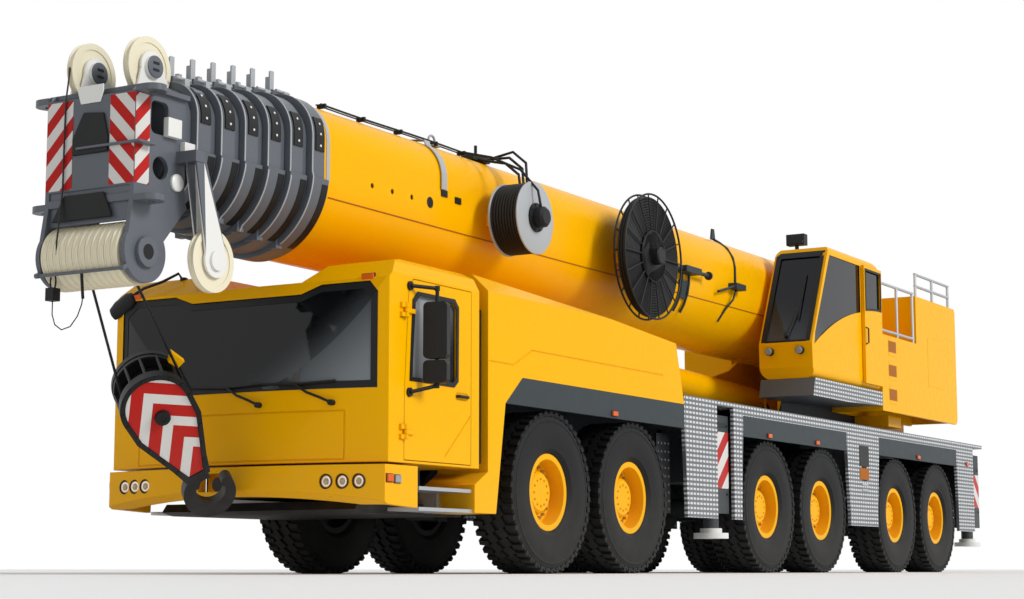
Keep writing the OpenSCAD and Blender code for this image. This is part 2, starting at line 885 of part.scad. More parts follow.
module slew_platform() {
  front = crane_cab_front - 260;
  color(yellow) {
    difference() {
      union() {
        rod_z(slew_x, 0, ring_d / 2, floor_z, floor_top);
        box(tail_x + 100, slew_x + 900, -900, 900, floor_z, floor_top);
        both() {
          side_plate(cheek_y, cheek_y + cheek_t) polygon([
            [slew_x + 900, floor_z], [slew_x + 900, 2350], [slew_x - 600, 2700], [pivot_x + 420, pivot_z + 180],
            [pivot_x + 150, pivot_z + 260], [pivot_x - 250, pivot_z + 260], [tail_x + 300, 2900],
            [tail_x + 300, floor_z]
          ]);
          rod_y(pivot_x, pivot_z, 200, cheek_y - 12, cheek_y + cheek_t);
          rod_y(pivot_x, pivot_z, pin_r, cheek_y - 95, cheek_y);
          box(barrel_x - 170, barrel_x + 170, barrel_half + 8, barrel_half + 58, floor_top - 1, barrel_z);
          rod_y(barrel_x, barrel_z, 170, barrel_half + 8, barrel_half + 58);
        }
        rod_y(barrel_x, barrel_z, barrel_pin_r, -barrel_half - 58, barrel_half + 58);
        side_plate(cheek_y + cheek_t - 1, crane_cab_out) polygon([
          [housing_front, 2160], [housing_front, crane_cab_z], [front + 180, crane_cab_z], [front + 240, 2120],
          [front - 900, 2120]
        ]);
        both() box(slew_x - 2150, slew_x - 1650, cheek_y, half_w - 250, floor_top - 1, housing_z);
        box(tail_x + 150, tail_x + 200, -cheek_y - 1, cheek_y + 1, floor_top - 1, 2700);
        rod_y(tail_x + 700, 2620, 230, -cheek_y - 1, cheek_y + 1);
        for (s = [-1, 1]) {
          rod_y(tail_x + 700, 2620, 380, s * 560 - 20, s * 560 + 20);
        }
      }
    }
  }
}

module rear_housing() {
  wall = 40;
  bay = housing_front - 1380;
  bay_z = 3110;
  vent_x = housing_front - 400;
  color(yellow) {
    both() difference() {
      side_plate(housing_in, crane_cab_out) polygon([
        [housing_front, housing_z], [housing_front, bay_z], [bay, bay_z], [bay, housing_top],
        [tail_x + 40, housing_top], [tail_x, housing_top - 40], [tail_x, housing_z + 60], [tail_x + 60, housing_z]
      ]);
      box(tail_x + wall, housing_front - wall, housing_in + wall, crane_cab_out - wall, housing_z - 1, bay_z - wall);
      box(tail_x + wall, bay - wall, housing_in + wall, crane_cab_out - wall, bay_z - wall - 1, housing_top - wall);
      for (z = [2330, 2650, 2970]) {
        translate([vent_x, 0, z]) vent(110);
      }
      translate([tail_x + 900, 0, 2900]) vent(300);
    }
    both() {
      box(bay - 1, housing_front, housing_in, housing_in + wall, bay_z - 1, bay_z + 480);
      guard_frame(bay, bay_z);
      top_rail();
    }
  }
}

// Slots in the outer wall, filling a square of the given half-size
module vent(half) {
  slots = 5;
  pitch = half * 2 / slots;
  for (i = [0 : slots - 1]) {
    box(-half, half, crane_cab_out - 60, crane_cab_out + 1, -half + i * pitch, -half + i * pitch + pitch / 2);
  }
}

// Upright frame of tubes beside the low front bay
module guard_frame(bay, bay_z) {
  y = crane_cab_out - 30;
  top = bay_z + 690;
  for (x = [bay + 60, (bay + housing_front) / 2, housing_front - 40]) {
    rod_z(x, y, rail_r, bay_z - 20, top);
  }
  for (z = [bay_z + 60, top]) {
    rod_x(y, z, rail_r, bay + 40, housing_front - 20);
  }
}

// Handrail along the top of the tall part
module top_rail() {
  y = crane_cab_out - 60;
  for (x = [tail_x + 120, tail_x + 820, tail_x + 1520]) {
    rod_z(x, y, rail_r, housing_top - 20, housing_top + rail_h);
  }
  for (z = [housing_top + rail_h / 2, housing_top + rail_h]) {
    rod_x(y, z, rail_r, tail_x + 100, tail_x + 1540);
  }
}

module crane_cab_side(inset) {
  front = crane_cab_front - inset;
  roof = crane_cab_roof - inset;
  polygon([
    [crane_cab_rear + inset, crane_cab_z + inset], [front - 90, crane_cab_z + inset],
    [front - 10, crane_cab_z + 130], [front, crane_cab_z + 420], [front - 560, roof - 110],
    [front - 640, roof - 20], [front - 760, roof], [crane_cab_rear + 160, roof],
    [crane_cab_rear + inset, roof - 110]
  ]);
}

module crane_cab_front_view(inset) {
  mid = (crane_cab_in + crane_cab_out) / 2;
  w = crane_cab_out - crane_cab_in - 2 * inset;
  h = crane_cab_roof - crane_cab_z - 2 * inset;
  translate([mid, crane_cab_z + inset + h / 2]) round_rect(w, h, 110 - inset);
}

module crane_cab_form(inset) {
  intersection() {
    side_plate(crane_cab_in, crane_cab_out) crane_cab_side(inset);
    front_plate(crane_cab_rear, crane_cab_front) crane_cab_front_view(inset);
  }
}

module crane_cab_walls() {
  difference() {
    crane_cab_form(0);
    crane_cab_form(crane_wall);
  }
}

module crane_screen_cut() {
  box(crane_cab_front - 660, crane_cab_front + 10, crane_cab_in + 80, crane_cab_out - 80,
    crane_cab_z + 440, crane_cab_roof - 140);
}

// The arched panel under the side windows, grown by extra
module crane_arch(extra) {
  translate([crane_cab_rear, crane_arch_z - crane_arch_r]) circle(crane_arch_r + extra, $fn = 720);
}

module crane_side_cut() {
  side_plate(crane_cab_out - 100, crane_cab_out + 10) difference() {
    polygon([
      [crane_cab_front - 70, crane_cab_z + 380], [crane_cab_front - 110, crane_cab_z + 560],
      [crane_cab_front - 630, crane_cab_roof - 130], [crane_post_x + 30, crane_cab_roof - 130],
      [crane_post_x + 30, crane_cab_z + 380]
    ]);
    crane_arch(0);
  }
}

module crane_door_outline(inset) {
  polygon([
    [crane_cab_rear + 20 + inset, crane_cab_z + 60 + inset],
    [crane_post_x - inset, crane_cab_z + 60 + inset],
    [crane_post_x - inset, crane_cab_roof - 115 - inset],
    [crane_cab_rear + 20 + inset, crane_cab_roof - 115 - inset]
  ]);
}

module crane_cab_shell() {
  color(yellow) difference() {
    crane_cab_walls();
    crane_screen_cut();
    crane_side_cut();
    side_plate(crane_cab_out - 130, crane_cab_out + 10) crane_door_outline(60);
  }
  color(yellow) {
    for (z = [crane_cab_z + 75, crane_cab_roof - 150]) {
      box(crane_cab_rear + 5, crane_post_x + 40, crane_cab_out - 1, crane_cab_out + clear - fit, z, z + 15);
    }
    box(crane_cab_front - 900, crane_cab_front - 780, crane_cab_in + 60, crane_cab_in + 300,
      crane_cab_roof + 60, crane_cab_roof + lamp_box_h);
    rod_z(crane_cab_front - 840, crane_cab_in + 180, 25, crane_cab_roof - 20, crane_cab_roof + 61);
    for (y = [crane_cab_in + 150, crane_cab_out - 150]) {
      rod_x(y, crane_cab_z + 330, 50, crane_cab_front - 30, crane_cab_front + 60);
    }
  }
}

module crane_cab_glass() {
  color(pane) intersection() {
    difference() {
      crane_cab_form(10);
      crane_cab_form(10 + glass_t);
    }
    union() {
      crane_screen_cut();
      crane_side_cut();
    }
  }
}

module crane_cab_interior() {
  mid = (crane_cab_in + crane_cab_out) / 2;
  floor = crane_cab_z + crane_wall;
  color(black) {
    translate([crane_cab_rear + 620, mid, floor]) {
      box(-200, 260, -210, 210, 380, 490);
      box(-130, 130, -130, 130, 0, 380);
      side_plate(-200, 200) polygon([[-240, 440], [-120, 440], [-220, 1080], [-340, 1080]]);
    }
    box(crane_cab_front - 260, crane_cab_front - 140, mid - 150, mid + 150, floor, floor + 480);
  }
}

module crane_cab_door() {
  y = crane_cab_out + clear;
  color(yellow) difference() {
    side_plate(y, y + 40) crane_door_outline(0);
    side_plate(y - 1, y + 41) difference() {
      translate([crane_cab_rear + 65, crane_cab_z + 800])
        square([crane_post_x - crane_cab_rear - 110, crane_cab_roof - crane_cab_z - 970]);
      crane_arch(30);
    }
  }
}

module at_lift() {
  translate([barrel_x, 0, barrel_z]) rotate([0, -lift_tilt, 0]) children();
}

module lift_barrel() {
  barrel_end = lift_len - 420;
  color(yellow) at_lift() difference() {
    union() {
      rod_x(0, 0, barrel_r, 190, barrel_end);
      rod_x(0, 0, barrel_half - 10, 100, 191);
      rod_y(0, 0, 150, -barrel_half, barrel_half);
    }
    rod_y(0, 0, barrel_pin_r + fit, -barrel_half - 1, barrel_half + 1);
    rod_x(0, 0, lift_rod_d / 2 + fit, 300, barrel_end + 1);
  }
}

module lift_rod() {
  eye_half = lug_gap - 8;
  color(steel) at_lift() difference() {
    union() {
      rod_x(0, 0, lift_rod_d / 2, 320, lift_len - 60);
      rod_y(lift_len, 0, 170, -eye_half, eye_half);
    }
    rod_y(lift_len, 0, 80, -eye_half - 1, eye_half + 1);
  }
}

// Boom

module boom_outline(w, h) {
  low = -(h - w) / 2;
  round_r = w * top_round;
  tall = h / 2 - low;
  translate([0, low]) circle(w / 2);
  translate([-w / 2, low]) square([w, tall - round_r]);
  translate([-w / 2 + round_r, low]) square([w - 2 * round_r, tall]);
  for (s = [-1, 1]) {
    translate([s * (w / 2 - round_r), h / 2 - round_r]) circle(round_r);
  }
}

// The outline of section i, grown by extra on every side
module section_outline(i, extra) {
  translate([0, boom_z])
    boom_outline(boom_w - boom_step * i + 2 * extra, boom_h - boom_step * i + 2 * extra);
}

function section_front(i) = boom_front + collar_pitch * i;
function section_rear(i) = i == 0 ? boom_rear : pivot_x + 280 + 130 * i;

// The collar of section i: a ring, a deeper cradle below, pads at the upper corners, a top block with
// two posts, and two stops under it
module collar(i, front, top, bottom) {
  cradle_len = collar_pitch - 30;
  cradle_t = collar_t + 14;
  pad_t = collar_t + 12;
  front_plate(front - collar_len, front) section_outline(i, collar_t);
  front_plate(front - cradle_len, front) intersection() {
    section_outline(i, cradle_t);
    translate([-boom_w, boom_z - boom_h]) square([2 * boom_w, boom_h - 60]);
  }
  front_plate(front - 165, front - 45) intersection() {
    section_outline(i, pad_t);
    translate([-boom_w, boom_z + 170]) square([2 * boom_w, 290]);
  }
  box(front - 165, front - 25, -post_y - 60, post_y + 60, top - 20, top + collar_t + 55);
  both() {
    box(front - 70, front - 25, post_y - 20, post_y + 20, top, top + post_h);
    box(front - 60, front + stop_out, 190, 330, bottom + 20, bottom + 115);
  }
}

// Tube, collar at the front and slide ring at the rear of section i
module section(i) {
  front = section_front(i);
  top = boom_z + (boom_h - boom_step * i) / 2;
  bottom = boom_z - (boom_h - boom_step * i) / 2;
  difference() {
    union() {
      front_plate(section_rear(i), front) section_outline(i, 0);
      collar(i, front, top, bottom);
      if (i > 0) {
        front_plate(section_rear(i), section_rear(i) + 200)
          section_outline(i, boom_step / 2 - boom_wall - slide_gap);
      }
      children();
    }
    front_plate(section_rear(i) - 1, front - 120) section_outline(i, -boom_wall);
    front_plate(front - 121, front + stop_out + 1) section_outline(i + 1, slide_gap);
  }
}

module boom_base() {
  color(yellow) difference() {
    section(0) {
      both() {
        side_plate(lug_gap, lug_gap + lug_t) polygon([
          [lug_x - 420, boom_z - boom_h / 2 + 60], [lug_x - 180, lug_z - 60], [lug_x - 120, lug_z - 170],
          [lug_x + 120, lug_z - 170], [lug_x + 180, lug_z - 60], [lug_x + 420, boom_z - boom_h / 2 + 60]
        ]);
        rod_y(lug_x, lug_z, 110, lug_gap, lug_gap + lug_t + 40);
        rod_y(pivot_x, pivot_z, 170, boom_w / 2 - 60, boom_w / 2 + 5);
      }
      box(reel_x[0] - 120, reel_x[0] + 120, boom_w / 2 - 20, reel_y[0], boom_z - 60, boom_z + 60);
      box(reel_x[1] - 120, reel_x[1] + 120, boom_w / 2 - 20, reel_y[1], boom_z - 60, boom_z + 60);
    }
    both() rod_y(pivot_x, pivot_z, pin_r + fit, boom_w / 2 - 120, boom_w / 2 + 20);
    for (i = [0 : hole_count - 1]) {
      rod_y(boom_front - 930 - hole_pitch * i, boom_z + 15, hole_r, -boom_w / 2 - 20, boom_w / 2 + 20);
    }
  }
}

module reel(x, y, r, w, spokes) {
  hub = r * 0.4;
  rim_w = 24;
  for (y0 = [y, y + w - rim_w]) {
    difference() {
      rod_y(x, boom_z, r, y0, y0 + rim_w);
      if (spokes > 0) {
        for (i = [0 : spokes - 1]) {
          translate([x, 0, boom_z]) rotate([0, i * 360 / spokes, 0])
            rod_y((hub + r) / 2 + 10, 0, (r - hub) * 0.36, y0 - 1, y0 + rim_w + 1);
        }
      }
    }
  }
  rod_y(x, boom_z, hub, y, y + w);
  rod_y(x, boom_z, hub + (r - hub) * 0.55, y + rim_w + 4, y + w - rim_w - 4);
  rod_y(x, boom_z, 95, y, y + w + 90);
}

module hose_reels() {
  color(dark) {
    reel(reel_x[0], reel_y[0], small_reel_d / 2, 330, 0);
    reel(reel_x[1], reel_y[1], large_reel_d / 2, 150, 8);
  }
}

module boom_section(i) {
  color(grey) section(i);
}

// Side outline of the boom head's cheeks
module head_plate() {
  difference() {
    polygon([
      [head_rear, head_bottom + 80], [head_rear, head_top], [head_front - 60, head_top],
      [head_front, head_top - 60], [head_front, head_bottom], [head_x + 200, sheave_z + 110],
      [head_x - 210, sheave_z + 110], [head_x - 470, head_bottom]
    ]);
    translate([head_x - 130, boom_z + 130]) round_rect(200, 260, 50);
    translate([head_x - 150, boom_z - 260]) circle(90);
  }
  translate([head_x, sheave_z]) circle(sheave_r - 15);
}

// A flat ear with an upright pin hole, beside the head at height z
module head_ear(z) {
  difference() {
    union() {
      box(head_front - ear_len, head_front, head_half - 1, head_half + 90, z, z + ear_t);
      rod_z(head_front - ear_len / 2, head_half + 90, ear_len / 2, z, z + ear_t);
    }
    rod_z(head_front - ear_len / 2, head_half + 90, jib_pin_r, z - 1, z + ear_t + 1);
  }
}

// Two plates and an axle that carry one sheave on top of the head
module top_bracket(x, y, z) {
  for (s = [-1, 1]) {
    y0 = y + s * (sheave_t / 2 + 14);
    side_plate(y0 - 9, y0 + 9) {
      polygon([[x - 260, head_top - 30], [x - 110, z + 40], [x + 110, z + 40], [x + 190, head_top - 30]]);
      translate([x, z]) circle(130);
    }
  }
  rod_y(x, z, axle_pin_r, y - sheave_t / 2 - 50, y + sheave_t / 2 + 50);
  for (s = [-1, 1]) {
    rod_y(x, z, 92, y + s * (sheave_t / 2 + 36) - 14, y + s * (sheave_t / 2 + 36) + 14);
  }
}

module boom_section_6() {
  color(grey) {
    difference() {
      head_body();
      for (p = top_sheaves) {
        rod_y(head_x + p[0], p[2], sheave_r + clear, p[1] - sheave_t / 2, p[1] + sheave_t / 2);
      }
    }
    for (p = top_sheaves) {
      top_bracket(head_x + p[0], p[1], p[2]);
    }
    side_arm();
  }
}

// The innermost tube with the head's cheeks, front wall, top plate, ears, sheave axle and rope guard
module head_body() {
  front = section_front(sections);
  difference() {
    front_plate(section_rear(sections), front) section_outline(sections, 0);
    front_plate(section_rear(sections) - 1, front - 60) section_outline(sections, -boom_wall);
  }
  front_plate(section_rear(sections), section_rear(sections) + 200) difference() {
    section_outline(sections, boom_step / 2 - boom_wall - slide_gap);
    section_outline(sections, -boom_wall);
  }
  both() {
    side_plate(head_half - 40, head_half) head_plate();
    head_ear(head_top - 70);
    head_ear(head_bottom - 30);
    rod_y(head_x, sheave_z, 120, head_half - 41, head_half + 30);
    side_plate(head_half - 40, head_half) {
      strip([head_x, sheave_z], [head_x + guard_at[0], sheave_z + guard_at[1]], 34);
      translate([head_x + guard_at[0], sheave_z + guard_at[1]]) circle(20);
    }
  }
  box(head_front - 40, head_front, -head_half, head_half, head_bottom + 100, head_top - 60);
  box(head_rear, head_front - 60, -head_half - 40, head_half + 40, head_top - 40, head_top);
  box(head_front - 100, head_front, -head_half, head_half, head_bottom - 20, head_bottom + 40);
  rod_y(head_x, sheave_z, axle_pin_r, -head_half, head_half);
  rod_y(head_x + guard_at[0], sheave_z + guard_at[1], 14, -head_half, head_half);
}

// The side sheave's arm: two plates that hang from a block on the head's left cheek
module side_arm() {
  x = head_x + side_sheave[0];
  y = side_sheave[1];
  z = side_sheave[2];
  block = head_x - 440;
  low = boom_z - 190;
  box(block, block + 110, head_half - 1, y + 60, low, low + 90);
  for (s = [-1, 1]) {
    y0 = y + s * (sheave_t / 2 + 14);
    side_plate(y0 - 9, y0 + 9) {
      polygon([[block, low + 89], [block + 110, low + 89], [x + 125, z + 40], [x - 120, z + 60]]);
      translate([x, z]) circle(135);
    }
  }
  rod_y(x, z, axle_pin_r, y - sheave_t / 2 - 30, y + sheave_t / 2 + 30);
  rod_y(x, z, 80, y + sheave_t / 2 + 20, y + sheave_t / 2 + 45);
}

module sheave(x, z, y) {
  width = sheave_t - 6;
  bore = axle_pin_r + fit;
  translate([x, y - width / 2, z]) rotate([-90, 0, 0]) rotate_extrude() difference() {
    translate([bore, 0]) square([sheave_r - bore, width]);
    translate([sheave_r + 3, width / 2]) circle(groove_r);
    for (s = [0, 1]) {
      translate([bore + 60, s * width - 8]) square([sheave_r - bore - 110, 16]);
    }
  }
}

module head_sheaves() {
  count = 12;
  color(nylon) {
    for (i = [0 : count - 1]) {
      sheave(head_x, sheave_z, (i - (count - 1) / 2) * sheave_t);
    }
    for (p = top_sheaves) {
      sheave(head_x + p[0], p[2], p[1]);
    }
    sheave(head_x + side_sheave[0], side_sheave[2], side_sheave[1]);
  }
}

// The block's own axes: its pin in the middle, tilted back and turned as the two falls pull it
module at_block() {
  translate([block_x, block_y, block_z]) rotate([0, block_tilt, 0]) rotate([0, 0, block_turn]) children();
}

module hook_block() {
  hood_z = 90;
  hood_r = 284;
  color(black) {
    at_block() {
      both() side_plate(block_half - 40, block_half) block_cheek(0);
      both() side_plate(block_half - 1, block_half + 14) difference() {
        block_cheek(0);
        block_cheek(40);
      }
      rod_y(0, 0, 62, -block_half - 30, block_half + 30);
      for (i = [-2 : 2]) {
        rod_y(0, 0, block_sheave_r, i * sheave_t - 26, i * sheave_t + 26);
        rod_y(0, 0, 100, i * sheave_t - sheave_t / 2, i * sheave_t + sheave_t / 2);
      }
      difference() {
        rod_y(0, hood_z, hood_r, -block_half + 1, block_half - 1);
        rod_y(0, hood_z, hood_r - 22, -block_half, block_half);
        box(-400, 400, -block_half, block_half, hood_z - 400, hood_z + 40);
        box(-400, 400, -block_half + 90, block_half - 90, hood_z, hood_z + 400);
      }
      for (a = [18, 72, 100, 128, 155]) {
        rod_y((hood_r - 11) * cos(a), hood_z + (hood_r - 11) * sin(a), 13, -block_half + 1, block_half - 1);
      }
      box(-85, 85, -block_half + 1, block_half - 1, -620, -520);
      rod_z(0, 0, 62, -720, -530);
      translate([0, 0, 60]) hook();
    }
    for (s = [-1, 1]) {
      block_fall(s);
    }
  }
}

// A fall of rope from the block's sheave to a head sheave straight above it in the same upright plane
module block_fall(s) {
  reach = s * fall_at * cos(block_turn);
  x = block_x + reach * cos(block_tilt);
  y = block_y - s * fall_y;
  z = block_z - reach * sin(block_tilt);
  up = atan2(sheave_z - z, head_x - x);
  seat = sheave_r - groove_sink;
  bar([x, y, z], [head_x - seat * cos(up), y, sheave_z - seat * sin(up)], rope_r);
}

// Outline of the block's cheeks, drawn in by inset
module block_cheek(inset) {
  translate([0, 90]) circle(290 - inset);
  polygon([
    [288 - inset, 60], [280 - inset, -120], [150 - inset, -480], [105 - inset, -640 + inset],
    [-105 + inset, -640 + inset], [-150 + inset, -480], [-280 + inset, -120], [-288 + inset, 60]
  ]);
}

// The hook: a round arm that opens to the rear, with a flattened nose
module hook() {
  side_plate(-58, 58) {
    difference() {
      translate([0, -985]) circle(215);
      translate([-20, -965]) circle(120);
      translate([-400, -965]) square([330, 400]);
    }
    polygon([[-62, -770], [62, -770], [120, -880], [60, -900], [0, -830]]);
    translate([-168, -965]) circle(48);
  }
}

module cab_door_left() { cab_door(1); }
module cab_door_right() { cab_door(-1); }
module mirror_left() { mirror_set(1); }
module mirror_right() { mirror_set(-1); }
module knuckle_1_left() { place_knuckle(axle1_x, 1); }
module knuckle_1_right() { place_knuckle(axle1_x, -1); }
module knuckle_2_left() { place_knuckle(axle2_x, 1); }
module knuckle_2_right() { place_knuckle(axle2_x, -1); }
module knuckle_5_left() { place_knuckle(axle5_x, 1); }
module knuckle_5_right() { place_knuckle(axle5_x, -1); }
module knuckle_6_left() { place_knuckle(axle6_x, 1); }
module knuckle_6_right() { place_knuckle(axle6_x, -1); }
module wheel_1_left() { place_wheel(axle1_x, 1); }
module wheel_1_right() { place_wheel(axle1_x, -1); }
module wheel_2_left() { place_wheel(axle2_x, 1); }
module wheel_2_right() { place_wheel(axle2_x, -1); }
module wheel_3_left() { place_wheel(axle3_x, 1); }
module wheel_3_right() { place_wheel(axle3_x, -1); }
module wheel_4_left() { place_wheel(axle4_x, 1); }
module wheel_4_right() { place_wheel(axle4_x, -1); }
module wheel_5_left() { place_wheel(axle5_x, 1); }
module wheel_5_right() { place_wheel(axle5_x, -1); }
module wheel_6_left() { place_wheel(axle6_x, 1); }
module wheel_6_right() { place_wheel(axle6_x, -1); }
module leg_beam_front_left() { leg_beam(front_leg_x, 1); }
module leg_beam_front_right() { leg_beam(front_leg_x, -1); }
module leg_beam_rear_left() { leg_beam(rear_leg_x, 1); }
module leg_beam_rear_right() { leg_beam(rear_leg_x, -1); }
module leg_jack_front_left() { leg_jack(front_leg_x, 1); }
module leg_jack_front_right() { leg_jack(front_leg_x, -1); }
module leg_jack_rear_left() { leg_jack(rear_leg_x, 1); }
module leg_jack_rear_right() { leg_jack(rear_leg_x, -1); }
module boom_section_1() { boom_section(1); }
module boom_section_2() { boom_section(2); }
module boom_section_3() { boom_section(3); }
module boom_section_4() { boom_section(4); }
module boom_section_5() { boom_section(5); }

chassis_frame();
axle_beams();
engine_block();
cab_shell();
cab_glass();
cab_interior();
front_bumper();
engine_hood();
mudguards();
side_skirts();
cab_door_left();
cab_door_right();
mirror_left();
mirror_right();
knuckle_1_left();
knuckle_1_right();
knuckle_2_left();
knuckle_2_right();
knuckle_5_left();
knuckle_5_right();
knuckle_6_left();
knuckle_6_right();
wheel_1_left();
wheel_1_right();
wheel_2_left();
wheel_2_right();
wheel_3_left();
wheel_3_right();
wheel_4_left();
wheel_4_right();
wheel_5_left();
wheel_5_right();
wheel_6_left();
wheel_6_right();
leg_beam_front_left();
leg_beam_front_right();
leg_beam_rear_left();
leg_beam_rear_right();
leg_jack_front_left();
leg_jack_front_right();
leg_jack_rear_left();
leg_jack_rear_right();
slew_platform();
rear_housing();
crane_cab_shell();
crane_cab_glass();
crane_cab_interior();
crane_cab_door();
lift_barrel();
lift_rod();
boom_base();
hose_reels();
boom_section_1();
boom_section_2();
boom_section_3();
boom_section_4();
boom_section_5();
boom_section_6();
head_sheaves();
hook_block();
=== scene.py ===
# %% [markdown]
# # A six-axle mobile crane in its road position
# The solids of the crane come packed from CAD, with every wheel, door, leg and boom section on its own
# body. This script adds what those solids leave out: paint, rubber, glass, tyre tread, lamps, stripes,
# bolts, cables and seats. It starts by loading the frame, because every place below is in the frame's axes.

# %% Load the frame
import json
import math

import bmesh
import bpy
import numpy as np
from mathutils import Matrix, Vector
from mathutils.bvhtree import BVHTree


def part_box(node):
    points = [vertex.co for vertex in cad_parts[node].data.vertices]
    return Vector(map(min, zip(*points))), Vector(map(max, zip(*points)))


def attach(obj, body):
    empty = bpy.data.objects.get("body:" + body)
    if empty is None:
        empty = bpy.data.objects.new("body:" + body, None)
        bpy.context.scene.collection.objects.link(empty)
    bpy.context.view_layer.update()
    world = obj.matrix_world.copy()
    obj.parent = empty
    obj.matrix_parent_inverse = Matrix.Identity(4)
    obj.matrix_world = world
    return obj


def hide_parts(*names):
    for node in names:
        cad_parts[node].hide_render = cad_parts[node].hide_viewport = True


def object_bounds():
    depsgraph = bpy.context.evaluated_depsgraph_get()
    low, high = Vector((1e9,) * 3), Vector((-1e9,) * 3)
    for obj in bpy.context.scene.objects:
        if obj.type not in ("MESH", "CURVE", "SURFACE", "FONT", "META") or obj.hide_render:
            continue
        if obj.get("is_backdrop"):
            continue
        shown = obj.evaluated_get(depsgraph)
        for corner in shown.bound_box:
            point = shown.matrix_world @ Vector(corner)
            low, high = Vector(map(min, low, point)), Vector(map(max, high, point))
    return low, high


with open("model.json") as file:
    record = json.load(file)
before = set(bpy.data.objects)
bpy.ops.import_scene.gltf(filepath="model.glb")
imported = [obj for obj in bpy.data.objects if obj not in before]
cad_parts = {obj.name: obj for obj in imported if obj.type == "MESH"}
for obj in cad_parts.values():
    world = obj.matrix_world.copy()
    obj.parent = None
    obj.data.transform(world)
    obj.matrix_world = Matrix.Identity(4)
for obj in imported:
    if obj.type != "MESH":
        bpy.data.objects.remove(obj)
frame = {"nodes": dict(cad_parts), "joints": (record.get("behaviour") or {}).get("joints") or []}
cad_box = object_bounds()
nodes = frame["nodes"]
joint_place = {j["name"]: Vector(j.get("pos_m") or (0, 0, 0)) for j in frame["joints"]}
scene = bpy.context.scene

# %% [markdown]
# Places on the crane repeat all the time: the outer face of the side panels, the nose, the axles, the
# boom's middle line. Those of the chassis are read from the boxes of the CAD nodes and from the joints.
# Those of the boom and the crane cab are written down in metres, in the frame's own axes.

# %% Places on the crane
AXLE_X = {n: joint_place[f"spin_{n}_left"].x for n in range(1, 7)}
WHEEL_Y = joint_place["spin_1_left"].y
AXLE_Z = joint_place["spin_1_left"].z
HALF_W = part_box("side_skirts")[1].y
NOSE_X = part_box("cab_shell")[1].x
CAB_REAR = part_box("cab_shell")[0].x
CAB_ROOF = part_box("cab_shell")[1].z
SLEW_X = joint_place["slew"].x
BOOM_Z = 3.365
BOOM_HALF_W = 0.65
BOOM_HALF_H = 0.665
SECTION_STEP = 0.033
SECTION_FRONT = [6.8375 + 0.26 * i for i in range(7)]
HEAD_AXLE = Vector((8.6375, 0.0, 2.43))
HEAD_FRONT = HEAD_AXLE.x + 0.15
HEAD_HALF = 0.45
HEAD_TOP = BOOM_Z + 0.36
CRANE_CAB_FRONT = SLEW_X + 1.6
CRANE_CAB_REAR = SLEW_X - 0.76
CRANE_CAB_OUT = HALF_W - 0.02
CRANE_CAB_IN = 0.735
CRANE_CAB_MID = (CRANE_CAB_IN + CRANE_CAB_OUT) / 2
CRANE_CAB_ROOF = 4.04
HOUSING_TOP = 3.77
TAIL_X = SLEW_X - 3.9
LEG_X = {"front": AXLE_X[3] + 1.25, "rear": AXLE_X[6] - 2.03 + 0.27}
print("axles at", [round(x, 3) for x in AXLE_X.values()], "nose at", round(NOSE_X, 3))

# %% [markdown]
# The photograph looks up from floor level at the front left corner, with a long lens. The camera's place
# was solved from the axles and the cab, so it is given in metres in the frame's own axes.

# %% Camera
camera_data = bpy.data.cameras.new("camera")
camera_data.sensor_width = 36.0
camera_data.lens = 69.73
camera = bpy.data.objects.new("camera", camera_data)
camera.location = (20.0345, 10.413, 0.046)
looks_along = Vector((-0.85333, -0.50372, 0.13454))
camera.rotation_euler = looks_along.to_track_quat("-Z", "Y").to_euler()
scene.collection.objects.link(camera)
scene.camera = camera
print("lens", camera_data.lens, "mm")

# %% [markdown]
# Finishes, the world and the repeated fittings are all made of nodes. These helpers add a node and link or
# set its inputs by name, so that each tree below reads as one list of steps.

# %% Node helpers
def fill(node, **values):
    """Links or sets the inputs of a node by name (an underscore stands for a space)."""
    for label, value in values.items():
        socket = node.inputs[label.replace("_", " ")]
        if isinstance(value, bpy.types.NodeSocket):
            node.id_data.links.new(value, socket)
        else:
            socket.default_value = value
    return node


def add_node(tree, kind, **values):
    return fill(tree.nodes.new(kind), **values)


def math_node(tree, operation, a, b=None, clamp=False):
    """A Math node with each input linked or set; returns its output."""
    node = tree.nodes.new("ShaderNodeMath")
    node.operation = operation
    node.use_clamp = clamp
    for socket, value in zip(node.inputs, (a, b)):
        if isinstance(value, (int, float)):
            socket.default_value = value
        elif value is not None:
            tree.links.new(value, socket)
    return node.outputs[0]


def mix_colour(tree, factor, a, b, blend="MIX"):
    node = tree.nodes.new("ShaderNodeMix")
    node.data_type = "RGBA"
    node.blend_type = blend
    for socket, value in ((node.inputs[0], factor), (node.inputs[6], a), (node.inputs[7], b)):
        if isinstance(value, (int, float, tuple)):
            socket.default_value = value
        else:
            tree.links.new(value, socket)
    return node.outputs[2]


def noise(tree, vector, scale, detail=3.0):
    return add_node(tree, "ShaderNodeTexNoise", Scale=scale, Detail=detail, Vector=vector).outputs["Fac"]


def smooth_ramp(tree, value, start, end):
    """From 0 at start to 1 at end, eased at both."""
    ramp = add_node(tree, "ShaderNodeMapRange", Value=value, From_Min=start, From_Max=end)
    ramp.interpolation_type = "SMOOTHSTEP"
    return ramp.outputs["Result"]


def distance_along(tree, where, direction):
    dot = tree.nodes.new("ShaderNodeVectorMath")
    dot.operation = "DOT_PRODUCT"
    tree.links.new(where, dot.inputs[0])
    dot.inputs[1].default_value = direction
    return dot.outputs["Value"]


def new_material(name):
    material = bpy.data.materials.new(name)
    material.use_nodes = True
    tree = material.node_tree
    return material, tree, tree.nodes["Principled BSDF"]


SOCKETS = {bool: "Bool", int: "Int", float: "Float", type(None): "Material"}


